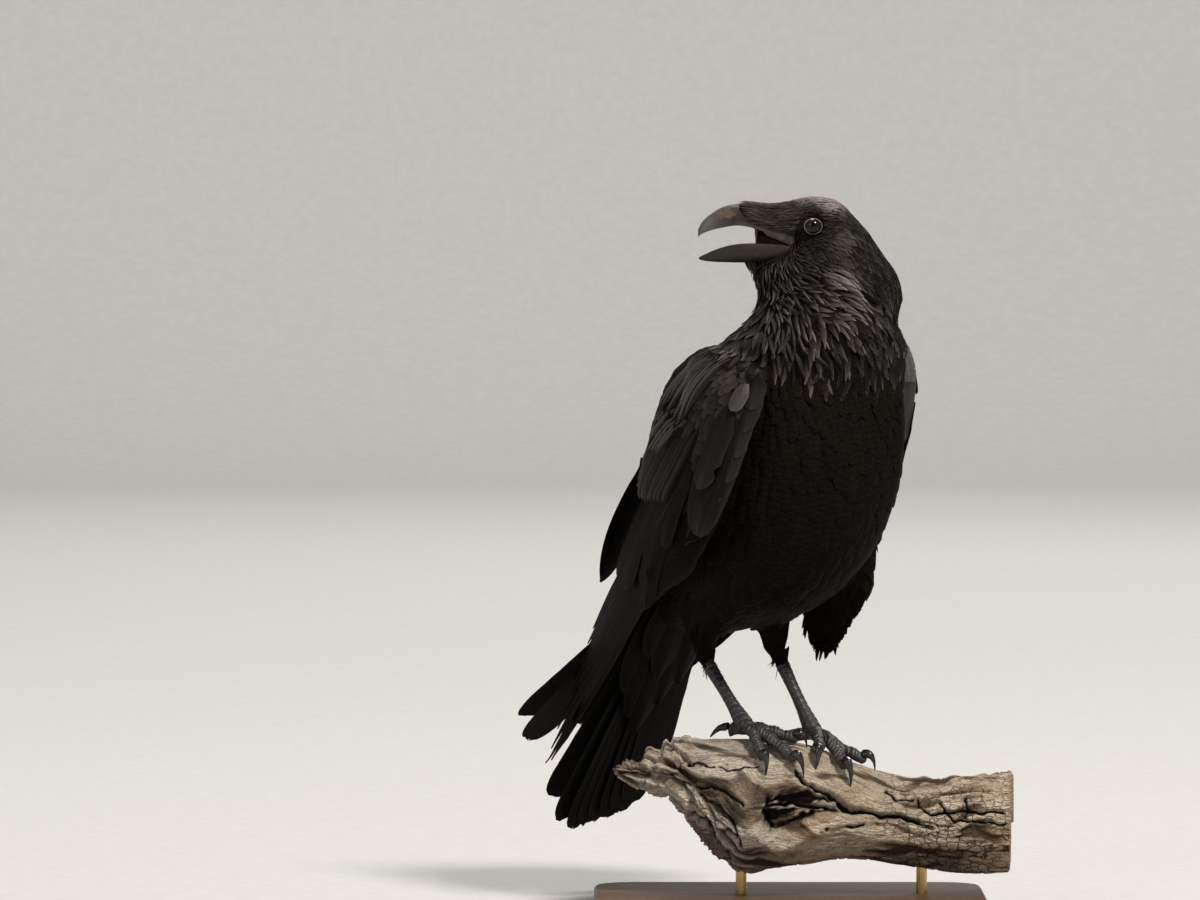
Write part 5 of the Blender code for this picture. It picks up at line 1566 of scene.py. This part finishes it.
# the upper tip is painted pale grey: worn horn, and partly a painted highlight
base = mix_colours(tree, times(tree, times(tree, polish_and_sheen, polish_and_sheen), 0.6), base, (0.120, 0.114, 0.108, 1))
base = mix_colours(tree, times(tree, rim, 0.28), base, (0.165, 0.125, 0.100, 1))
crust = times(tree, plus(tree, times(tree, soil, 0.30), minus(tree, specks, 0.70)), 12.0, True)
crust = times(tree, crust, math_node(tree, "GREATER_THAN", soil, 0.05))
worn = math_node(tree, "MULTIPLY_ADD", polish_and_sheen, -0.16, c=0.46)
feed(
    shader,
    Base_Color=mix_colours(tree, times(tree, crust, 0.8), base, (0.120, 0.078, 0.050, 1)),
    Roughness=plus(tree, worn, times(tree, crust, 0.45), True),
    Normal=add_bump(tree, plus(tree, times(tree, crust, specks), times(tree, streaks, 0.4)), 0.6, 0.0006),
    Specular_IOR_Level=0.32,
)


def horn_wear(piece, edge_ahead, edge_height):
    """Soil, pale cutting edge, and polish with a painted highlight on the upper tip, by place on the bill."""
    points = read_points(piece.data)
    ahead, high = 0.027 - points[:, 0], points[:, 2]
    noise = layered_noise(points * 260, 3, 61)
    edge = np.interp(ahead, edge_ahead, edge_height)
    paint_points(
        piece.data, "Rim",
        bell((high - edge) / 0.0007) * smooth_step(ahead, 0.085, 0.055) * unit(0.7 + 0.5 * noise),
    )
    upper = high > 0.497
    mud = np.where(
        upper, 1.15 * np.exp(-(((ahead - 0.075) / 0.012) ** 2 + ((high - 0.5165) / 0.0060) ** 2)),
        np.exp(-(((ahead - 0.050) / 0.007) ** 2 + ((high - 0.487) / 0.004) ** 2)),
    )
    paint_points(piece.data, "Soil", unit(mud * (0.75 + 0.7 * noise)))
    # polish on the upper tip, partly a painted highlight
    paint_points(piece.data, "PolishAndSheen", smooth_step(ahead, 0.062, 0.090) * np.where(upper, 1.0, 0.10))


for half, rows, edge_column in (("upper", UPPER_BILL, 2), ("lower", LOWER_BILL, 1)):
    piece = loft(f"bill_{half}_horn", [horn_ring(row, half == "upper") for row in smooth_rows(rows, 5)])
    horn_wear(piece, *np.array(rows).T[[0, edge_column]])
    piece.data.materials.append(horn)
    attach(piece, "root")
    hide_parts(f"bill_{half}")

# ---- mouth -----------------------------------------------------------------------------------------------
# The tongue is a flat grey-pink blade in the trough of the lower bill; rows of soft spines stand at its
# root and on the palate.

flesh_skin = mottled_material(
    "mouth_flesh", (350, 350, 350), 4.0, ((0.3, (0.0015, 0.0008, 0.0007)), (0.7, (0.006, 0.003, 0.0026))),
    ((0.3, 0.30), (0.7, 0.5)), (0.5, 0.0006), 0.06,
)
rings = []
for ahead, high, half in smooth_rows(
    ((0.024, 0.4885, 0.0046), (0.040, 0.4893, 0.0047), (0.054, 0.4890, 0.0036), (0.0655, 0.4868, 0.0012)), 5
):
    t = np.linspace(0, 2 * math.pi, 16, endpoint=False)
    rings.append(head_at(
        ahead, half * np.cos(t),
        high + half * 0.40 * np.sin(t) - 0.0007 * bell(np.cos(t) / 0.2) * (np.sin(t) > 0),
    ))
tongue = loft("tongue_blade", rings)
tongue.data.materials.append(flesh_skin)
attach(tongue, "root")
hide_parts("tongue")

# the dark lining that closes the mouth behind, hollowed in front; its black stands in as painted shade for
# the depth of the throat
rings = []
for ahead, low, high, half in smooth_rows(
    (
        (0.016, 0.4880, 0.4975, 0.0096), (0.026, 0.4895, 0.4985, 0.0100), (0.036, 0.4890, 0.5010, 0.0092),
        (0.046, 0.4880, 0.5035, 0.0086), (0.054, 0.4878, 0.5060, 0.0076),
    ),
    4,
):
    t = np.linspace(0, 2 * math.pi, 28, endpoint=False)
    across, rise = np.cos(t), np.sin(t)
    across = np.sign(across) * np.abs(across) ** 0.6
    rise = np.sign(rise) * np.abs(rise) ** 0.8
    shift = -0.010 * smooth_step(ahead, 0.030, 0.056) * np.cos(rise * math.pi / 2) * (1.15 - across**2)
    rings.append(head_at(ahead + shift, half * across, (low + high) / 2 + (high - low) / 2 * rise))
lining = loft("mouth_lining", rings)
lining.data.materials.append(flesh_skin)
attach(lining, "root")
# soft spines along the palate and the tongue's root, pointing back into the throat
line, ups, halves = [], [], []
upper_bill = np.array(UPPER_BILL).T
for side in (-1, 1):
    for k in range(12):
        ahead = 0.0235 + 0.0021 * k
        edge, half = (np.interp(ahead, upper_bill[0], upper_bill[c]) for c in (2, 3))
        half -= 0.0006
        t = np.linspace(0, 1, 5)
        line.append(head_at(ahead - 0.0030 * t**1.5, side * (half - 0.0006 * t), edge + 0.0004 - 0.0034 * t))
        ups.append(np.tile(-np.array([0.0, side, 0.0]), (5, 1)))
        halves.append(0.00055 * (1 - t) ** 0.6 + 0.0001)
count = len(line)
spines = leaf_mesh(
    "mouth_spines", np.stack(line, 1), np.stack(ups, 1), np.stack(halves, 1), np.zeros((5, count)),
    np.full(count, 0.4), np.full(count, 0.5), np.random.default_rng(5).random((count, 2)),
    np.full(count, 0.004), curl=0.3, thick=0.9,
)
pale_skin = mottled_material(
    "pale_gape_skin", (600, 600, 900), 3.0, ((0.3, (0.060, 0.045, 0.038)), (0.7, (0.22, 0.175, 0.150))),
    ((0.3, 0.40), (0.7, 0.6)), (0.6, 0.0005),
)
spines.data.materials.append(pale_skin)
select_only(spines)
bpy.ops.object.shade_smooth_by_angle(angle=math.radians(80))
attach(spines, "root")

# ---- bristles over the nostrils --------------------------------------------------------------------------
# Stiff hair-like feathers lie forward over the base of the upper bill and cover the nostrils, on a low
# black pad that follows the horn.

# ahead, height of the top, of the lower edge, and half the width
BRISTLE_PAD = (
    (0.006, 0.5282, 0.5000, 0.0200), (0.014, 0.5276, 0.4990, 0.0180), (0.022, 0.5262, 0.4984, 0.0162),
    (0.030, 0.5244, 0.4984, 0.0144),
    (0.042, 0.5228, 0.5010, 0.0124), (0.054, 0.5240, 0.5056, 0.0104), (0.062, 0.5246, 0.5098, 0.0084),
    (0.0675, 0.5240, 0.5160, 0.0050),
)
pad_rows = smooth_rows(BRISTLE_PAD, 6)


def on_pad(ahead, turn, h):
    """A point over the pad: turn runs from the top down to either side."""
    top, low, half = (np.interp(ahead, pad_rows[:, 0], pad_rows[:, k]) for k in (1, 2, 3))
    high = (top - low) / 2
    return head_at(ahead, (half + h) * np.sin(turn), (top + low) / 2 + (high + h) * np.cos(turn))


t = np.linspace(0, 2 * math.pi, 24, endpoint=False)
pad = loft("bristle_pad", [on_pad(np.full(24, row[0]), t, -0.0011) for row in pad_rows[:-3]])
pad.data.materials.append(down)
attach(pad, "root")
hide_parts("nasal_bristles")
dice = np.random.default_rng(171)
count, rows = 1900, 6
start = dice.uniform(0.008, 0.049, count)
turn = dice.uniform(-2.7, 2.7, count)
long = dice.uniform(0.010, 0.020, count) * (1 - 0.20 * np.abs(turn) / 2.7)
share = np.linspace(0, 1, rows)[:, None]
ahead = np.minimum(start + share * long, 0.0685)
swing = turn + dice.normal(0, 0.16, count) * share + 0.05 * np.sign(turn) * share
line = on_pad(ahead, swing, -0.0009 + (0.0010 + dice.uniform(0, 0.0010, count)) * share)
centre_line = on_pad(ahead, swing, -0.006)
ups = line - centre_line
ups /= np.linalg.norm(ups, axis=2, keepdims=True)
half = hair_vane(share * np.ones(count)) * dice.uniform(0.00030, 0.00060, count)
unwrap = np.stack([(start - 0.018) / 0.03, turn / 4 + 0.5], -1)
bristles = leaf_mesh(
    "nasal_bristle_hairs", line, ups, half, np.zeros((rows, count)) + dice.uniform(0, 0.0006, count),
    0.40 * dice.uniform(0.0, 1.0, count) ** 2, dice.uniform(0.3, 0.7, count), unwrap, long, curl=0.3,
    thick=0.6,
)
finish_feathers(bristles, hackle_finish)

# ---- eyes ------------------------------------------------------------------------------------------------
# Glass eyes with a black pupil in dark brown, each held in a wrinkled grey ring of bare lid skin.

iris_glass, tree, shader = new_material("brown_eye_glass")
fleck = noise(tree, (900, 900, 900), Detail=3.0)
brown = mix_colours(tree, fleck, (0.004, 0.0025, 0.002, 1), (0.016, 0.010, 0.007, 1))
beyond_pupil = colour_ramp(tree, painted(tree, "Iris"), (0.40, 0), (0.46, 1))
feed(
    shader,
    Base_Color=mix_colours(tree, beyond_pupil, (0.002, 0.002, 0.002, 1), brown),
    Roughness=colour_ramp(tree, fleck, (0.3, 0.05), (0.7, 0.09)),
    Specular_IOR_Level=0.12,
    Coat_Weight=0.30,
    Coat_Roughness=0.02,
)
lid_skin = mottled_material(
    "lid_skin", (1400, 1400, 1400), 3.0, ((0.3, (0.030, 0.027, 0.026)), (0.7, (0.20, 0.175, 0.165))),
    ((0.3, 0.45), (0.7, 0.65)), (0.7, 0.0004),
)


def name_and_settle(name):
    """Names the mesh just added, and makes its place and turn its own."""
    made = bpy.context.object
    made.name = name
    select_only(made)
    bpy.ops.object.transform_apply(location=True, rotation=True, scale=True)
    return made


for side, word in ((1, "left"), (-1, "right")):
    middle = np.array(Vector(eye_at(side)))
    bpy.ops.object.select_all(action="DESELECT")
    bpy.ops.mesh.primitive_uv_sphere_add(
        segments=48, ring_count=32, radius=EYE_RADIUS - 0.0004, location=middle,
        rotation=(math.radians(90), 0, 0),
    )
    eye = name_and_settle(f"eye_glass_{word}")
    bpy.ops.object.shade_smooth()
    offset = read_points(eye.data) - middle
    paint_points(eye.data, "Iris", np.hypot(offset[:, 0], offset[:, 2]) / 0.0064)
    eye.data.materials.append(iris_glass)
    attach(eye, "root")
    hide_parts(f"eye_{word}")
    bpy.ops.object.select_all(action="DESELECT")
    bpy.ops.mesh.primitive_torus_add(
        major_segments=72, minor_segments=14, major_radius=0.0062, minor_radius=0.00036,
        location=(middle[0], middle[1] - side * 0.0034, middle[2]), rotation=(math.radians(90), 0, 0),
    )
    lid = name_and_settle(f"eyelid_{word}")
    offset = read_points(lid.data) - middle
    round_ring = np.arctan2(offset[:, 2], offset[:, 0])
    wrinkles = value_noise(read_points(lid.data) * 900, 5)
    offset[:, [0, 2]] *= 1 + 0.035 * (np.cos(round_ring * 2))[:, None]
    offset[:, 2] *= 0.94
    offset *= (1 + 0.012 * np.sin(round_ring * 23) + 0.008 * wrinkles)[:, None]
    write_points(lid.data, middle + offset)
    bpy.ops.object.shade_smooth()
    lid.data.materials.append(lid_skin)
    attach(lid, "root")

# ---- legs and feet ---------------------------------------------------------------------------------------
# Black-grey horny skin: tall plates down the front of the shank, rings of scutes over the toes, small
# grains under them, each edged with paler worn skin. The claws are polished black horn.

HEELS = {"right": (-0.0585, 0.0300, 0.1840), "left": (-0.0085, 0.0375, 0.1850)}
TOE_ROOTS = {}  # where each foot's toes meet
SHANK_PLATES = 0.0052  # height of a plate
TOE_SCUTES = 0.0031
LEG_CELL, CLAW_CELL = 0.00052, 0.00034
scale_skin, tree, shader = new_material("scaly_leg_skin")
grime = noise(tree, (500, 500, 500), Detail=4.0)
plate = colour_ramp(tree, grime, (0.3, (0.009, 0.009, 0.010)), (0.7, (0.036, 0.034, 0.036)))
feed(
    shader,
    Base_Color=mix_colours(tree, times(tree, painted(tree, "Seam"), 0.70), plate, (0.105, 0.092, 0.084, 1)),
    Roughness=colour_ramp(tree, grime, (0.3, 0.36), (0.7, 0.58)),
    Normal=add_bump(tree, grime, 0.35, 0.0004),
)

for word in ("right", "left"):
    names = [f"tarsus_{word}"] + [f"{toe}_{word}" for toe in ("toe_2", "toe_3", "toe_4", "hallux")]
    leg = melt(f"leg_{word}", names, LEG_CELL, 0.0001)
    points = relax(read_points(leg.data), read_edges(leg.data), 3)
    write_points(leg.data, points)
    normals = read_points(leg.data, "normal")
    heel = np.array(HEELS[word])
    joint = np.array([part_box(f"tarsus_{word}")[k] for k in (0, 1)]).mean(0)
    box_low = np.array(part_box(f"tarsus_{word}")[0])
    foot = np.array(
        [{"right": -0.036, "left": 0.016}[word], box_low[1] * 0.5 + joint[1] * 0.5, box_low[2] + 0.004]
    )
    TOE_ROOTS[word] = foot
    foot[1] = float(np.median(
        points[
            np.argsort(
                np.linalg.norm(points[:, :1] - foot[:1], axis=1) + np.abs(points[:, 2] - foot[2])
            )[:200],
            1
        ]
    ))
    shank_length = np.linalg.norm(heel - foot)
    up_shank = (heel - foot) / shank_length
    tube = nearest_part(points, names)
    along = (heel - points) @ up_shank
    out = np.linalg.norm(points - foot, axis=1)
    wobble = 0.12 * value_noise(points * 220, 71)
    on_shank = tube == 0
    phase = np.where(on_shank, along / SHANK_PLATES, out / TOE_SCUTES) + wobble
    part = phase % 1
    groove = bell(np.minimum(part, 1 - part) / 0.10)
    upper_side = np.where(
        on_shank, smooth_step(-normals[:, 1] + 0.3 * normals[:, 0], -0.3, 0.2),
        smooth_step(normals[:, 2] - 0.5 * normals[:, 1], 0.0, 0.35),
    )
    grains = unit(np.abs(layered_noise(points * 900, 2, 73)) * 1.4)
    bulge = np.where(on_shank, 0.00022, 0.00065) * (1 - groove) * (0.4 + 0.6 * part)
    swell = np.where(on_shank, 0.0, 0.00085 + 0.00065 * np.cos(out * 2 * math.pi / 0.0125))
    move = upper_side * (swell + bulge - 0.00045 * groove) + (1 - upper_side) * 0.00022 * (grains - 0.5)
    down_shank = unit(along / shank_length)
    top_lean, foot_lean = (-0.0035, 0.005) if word == "right" else (0.0015, 0.003)
    points[:, 0] += np.where(
        on_shank, top_lean + (foot_lean - top_lean) * down_shank, foot_lean * bell(out / 0.018)
    )
    middle = heel - np.multiply.outer(along, up_shank)
    narrow = 0.45 * smooth_step(along, 0.007, -0.002) * on_shank  # the shank thins up into the feathers
    points += (middle - points) * narrow[:, None]
    if word == "right":  # the hind toe is drawn in under the shank
        points[:, 0] += np.where(tube == 4, 0.60 * unit(foot[0] - points[:, 0]), 0)
    write_points(leg.data, points + normals * move[:, None])
    paint_points(
        leg.data, "Seam",
        unit(upper_side * groove * np.where(on_shank, 0.30, 1.0) + (1 - upper_side) * 0.4 * (1 - grains)),
    )
    leg.data.materials.append(scale_skin)
    select_only(leg)
    bpy.ops.object.shade_smooth()
    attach(leg, "root")
    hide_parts(*names)
    # a cuff of small feathers where the plumage ends on the shank
    dice = np.random.default_rng(301)
    count, share = 170, np.linspace(0, 1, 5)[:, None]
    top = heel + (top_lean, 0, 0)
    down_leg = foot + (foot_lean, 0, 0) - top
    down_leg /= np.linalg.norm(down_leg)
    turn = dice.uniform(0, 2 * math.pi, count)
    long = dice.uniform(0.006, 0.010, count)
    below = dice.uniform(-0.009, 0.001, count) + share * long
    radius = np.interp(below, [-0.008, -0.002, 0.004, 0.012], [0.0072, 0.0066, 0.0051, 0.0047])
    ups = np.stack([np.cos(turn), np.sin(turn), 0 * turn], -1) * np.ones((5, 1, 1))
    line = (
        top + np.maximum(below, 0)[..., None] * down_leg - np.minimum(below, 0)[..., None] * UP
        + radius[..., None] * ups
    )
    cuff = leaf_mesh(
        f"leg_cuff_{word}", line, ups,
        lance_vane(share * np.ones(count)) * dice.uniform(0.0010, 0.0016, count), np.zeros((5, count)),
        np.full(count, 0.05), np.full(count, 0.12), np.stack([turn / 6.3, dice.random(count)], -1), long,
        curl=0.3, thick=0.3,
    )
    finish_feathers(cuff, contour_finish)

claw_horn = mottled_material(
    "black_claw_horn", (300, 300, 300), 3.0, ((0.3, (0.006, 0.006, 0.007)), (0.75, (0.030, 0.028, 0.028))),
    ((0.3, 0.16), (0.7, 0.30)), (0.15, 0.0003),
)
for word in ("right", "left"):
    names = [f"claw_{toe}_{word}" for toe in ("toe_2", "toe_3", "toe_4", "hallux")]
    claws = melt(f"claws_{word}", names, CLAW_CELL, 0.00005)
    points = relax(read_points(claws.data), read_edges(claws.data), 3)
    write_points(claws.data, points)
    points += 0.00030 * read_points(claws.data, "normal")
    swell = read_points(claws.data, "normal")
    part = nearest_part(points, names)
    for number in range(4):  # each claw is hooked down over the wood
        mine = np.flatnonzero(part == number)
        reach = np.linalg.norm(points[mine] - TOE_ROOTS[word], axis=1)
        share = (reach - reach.min()) / np.ptp(reach)
        if number < 3:
            points[mine] += (
                np.multiply.outer(4 * share * (1 - share), (0.0010, -0.0022, 0.0026))
                + np.multiply.outer(share**3, (-0.0030, 0.0012, -0.0040))
                + swell[mine] * (0.0010 * (1 - share))[:, None]
            )
        elif word == "right":
            points[mine, 0] += 0.60 * (TOE_ROOTS[word][0] - points[mine, 0].max())
    write_points(claws.data, points)
    claws.data.materials.append(claw_horn)
    select_only(claws)
    bpy.ops.object.shade_smooth()
    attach(claws, "root")
    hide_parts(*names)

# ---- floor and light -------------------------------------------------------------------------------------
# A round pale floor turned up at its rim, a soft light high on the right in front, one overhead, a broad weak
# one on the left, one behind that draws the edge of the dark plumage, and one on the far side of the floor.

FLOOR_RADIUS = 8.0
RIM_STEPS = 8
RIM_STEP = 0.30
RIM_TURN = math.radians(80)

bpy.ops.object.select_all(action="DESELECT")
bpy.ops.mesh.primitive_circle_add(vertices=96, radius=FLOOR_RADIUS, fill_type="NGON")
floor = bpy.context.object
floor.name = "floor"
bpy.ops.object.mode_set(mode="EDIT")
bpy.ops.mesh.select_mode(type="EDGE")
sheet = bmesh.from_edit_mesh(floor.data)
for face in sheet.faces:
    face.select = False
for edge in sheet.edges:
    edge.select = True
bmesh.update_edit_mesh(floor.data)
for step in range(1, RIM_STEPS + 1):
    rise = RIM_TURN * (step - 0.5) / RIM_STEPS
    bpy.ops.mesh.extrude_edges_move(TRANSFORM_OT_translate={"value": (0.0, 0.0, RIM_STEP * math.sin(rise))})
    grow = 1 + RIM_STEP * math.cos(rise) / (FLOOR_RADIUS + 0.25 * step)
    bpy.ops.transform.resize(value=(grow, grow, 1.0))
bpy.ops.mesh.select_all(action="SELECT")
bpy.ops.mesh.normals_make_consistent(inside=False)
bpy.ops.object.mode_set(mode="OBJECT")
bpy.ops.object.shade_smooth()
paper, tree, shader = new_material("studio_paper")
tooth = noise(tree, (60, 60, 60))
feed(
    shader,
    Base_Color=colour_ramp(tree, tooth, (0.3, (0.46, 0.455, 0.445)), (0.7, (0.49, 0.485, 0.475))),
    Roughness=0.9,
)
floor.data.materials.append(paper)

# name, place, point it faces, size, power in watts, colour
LIGHTS = (
    ("key", (2.9, -4.2, 6.0), (0.0, 0.0, 0.38), 1.3, 640.0, (1.0, 0.95, 0.88)),
    ("top", (-0.6, 1.2, 6.2), (0.0, 0.0, 0.38), 2.4, 250.0, (1.0, 0.98, 0.96)),
    ("fill", (-4.8, -5.2, 3.2), (0.0, 0.0, 0.34), 3.0, 60.0, (0.98, 0.97, 0.96)),
    ("rim", (2.2, 5.4, 4.8), (0.0, 0.0, 0.38), 2.0, 130.0, (1.0, 0.98, 0.95)),
    ("wall", (0.0, 6.0, 4.6), (0.0, 9.0, 0.6), 2.5, 130.0, (1.0, 0.98, 0.95)),
)
for name, place, faces, size, power, colour in LIGHTS:
    direction = Vector(faces) - Vector(place)
    bpy.ops.object.light_add(
        type="AREA", location=place, rotation=direction.to_track_quat("-Z", "Y").to_euler()
    )
    lamp = bpy.context.object
    lamp.name = "light_" + name
    lamp.data.shape = "DISK"
    lamp.data.size = size
    lamp.data.energy = power
    lamp.data.color = colour
world = bpy.data.worlds.new("studio_air")
bpy.context.scene.world = world
world.use_nodes = True
world.node_tree.nodes["Background"].inputs["Color"].default_value = (0.86, 0.84, 0.82, 1.0)
world.node_tree.nodes["Background"].inputs["Strength"].default_value = 0.24
bpy.context.scene.view_settings.view_transform = "Standard"
